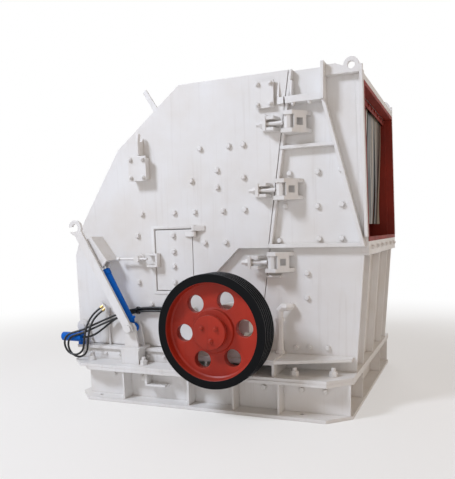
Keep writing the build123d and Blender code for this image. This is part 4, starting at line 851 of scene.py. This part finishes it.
def addDoorFrame(side, look):
    halfWide, halfTall, wide = look["halfWide"], look["halfTall"], look["wide"]
    deselectAll()
    bpy.ops.mesh.primitive_plane_add(size=1)
    bar = bpy.context.object
    bar.name = "doorFrame" + sideNames[side]
    bpy.ops.object.mode_set(mode="EDIT")
    bpy.ops.mesh.select_mode(type="FACE")
    bpy.ops.mesh.select_all(action="SELECT")
    bpy.ops.transform.resize(value=(2 * (halfWide + wide), 2 * (halfTall + wide), 1), center_override=(0, 0, 0))
    bpy.ops.mesh.inset(thickness=wide, depth=0)
    bpy.ops.object.mode_set(mode="OBJECT")
    # the opening's own face and the side by the hinge go
    selectFaces(bar, lambda face: face.center.length < wide / 2 or face.center.x > halfWide)
    bpy.ops.mesh.delete(type="FACE")
    bpy.ops.mesh.select_all(action="SELECT")
    bpy.ops.mesh.extrude_region_move(TRANSFORM_OT_translate={"value": (0, 0, look["proud"])})
    turnFacesOut()
    soften(bar, look["soft"])
    middle = Vector((look["middle"][0], side * wallY, look["middle"][1]))
    bar.data.transform(Matrix.Translation(middle) @ Matrix.Rotation(-side * pi / 2, 4, "X"))
    settle(bar, "rear_housing", "beigeEnamel")


addDoorFrame(-1, doorFrameLook)
addDoorFrame(1, doorFrameLook)
print("door frames set")

# straps that hold the three hoses together
strapLook = {"places": ((-0.250, -0.881, 0.758), (-0.600, -0.880, 0.751)), "radius": 0.031, "wide": 0.016,
             "thick": 0.002, "sides": 40}


def addHoseStraps(look):
    inner, outer, half = look["radius"], look["radius"] + look["thick"], look["wide"] / 2
    straps = []
    for place in look["places"]:
        profile = [(inner, -half), (outer, -half), (outer, half), (inner, half)]
        strap = turnedPiece("strap", profile, look["sides"], True)
        strap.data.transform(Matrix.Translation(place) @ Matrix.Rotation(pi / 2, 4, "Y"))
        straps.append(strap)
    settle(joinAll("hoseStraps", straps), "root", "blackEnamel")


addHoseStraps(strapLook)
print("hoses strapped")

# curtain strips: belting with dust and painted sheen, that hangs in slack waves, no two alike
stripLook = {"count": 4, "width": 0.330, "thick": 0.010, "across": 14, "down": 40, "back": 0.004, "smooth": 40,
             "slack": 0.7, "wave": 0.012, "waveTurns": 2.2, "waveStep": 1.3,
             "curl": 0.010, "curlDown": 4.6, "curlStep": 2.1, "curlAcross": 2.5}


def hangStrip(label, index, look):
    low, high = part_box(label)
    length = high[2] - low[2]
    bpy.ops.mesh.primitive_grid_add(x_subdivisions=look["across"], y_subdivisions=look["down"], size=1.0)
    strip = bpy.context.object
    strip.name = "curtainBelting" + str(index)
    middle = ((low[0] + high[0]) / 2, (low[1] + high[1]) / 2)
    for point in strip.data.vertices:
        across, down = point.co.x, 0.5 - point.co.y
        wave = look["wave"] * sin(look["waveTurns"] * pi * across + look["waveStep"] * index)
        curl = look["curl"] * sin(look["curlDown"] * down + look["curlStep"] * index + look["curlAcross"] * across)
        bow = down ** look["slack"] * (wave + curl)
        point.co = (middle[0] + bow - look["back"], middle[1] + across * look["width"], high[2] - down * length)
    thicken(strip, look["thick"])
    bpy.ops.object.mode_set(mode="EDIT")
    turnFacesOut()
    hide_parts(label)
    settle(strip, "root", "beltingDustAndSheen", look["smooth"])


for index in range(stripLook["count"]):
    hangStrip("curtain_strip_" + str(index + 1), index, stripLook)
print("curtain hung")

print("pieces done")
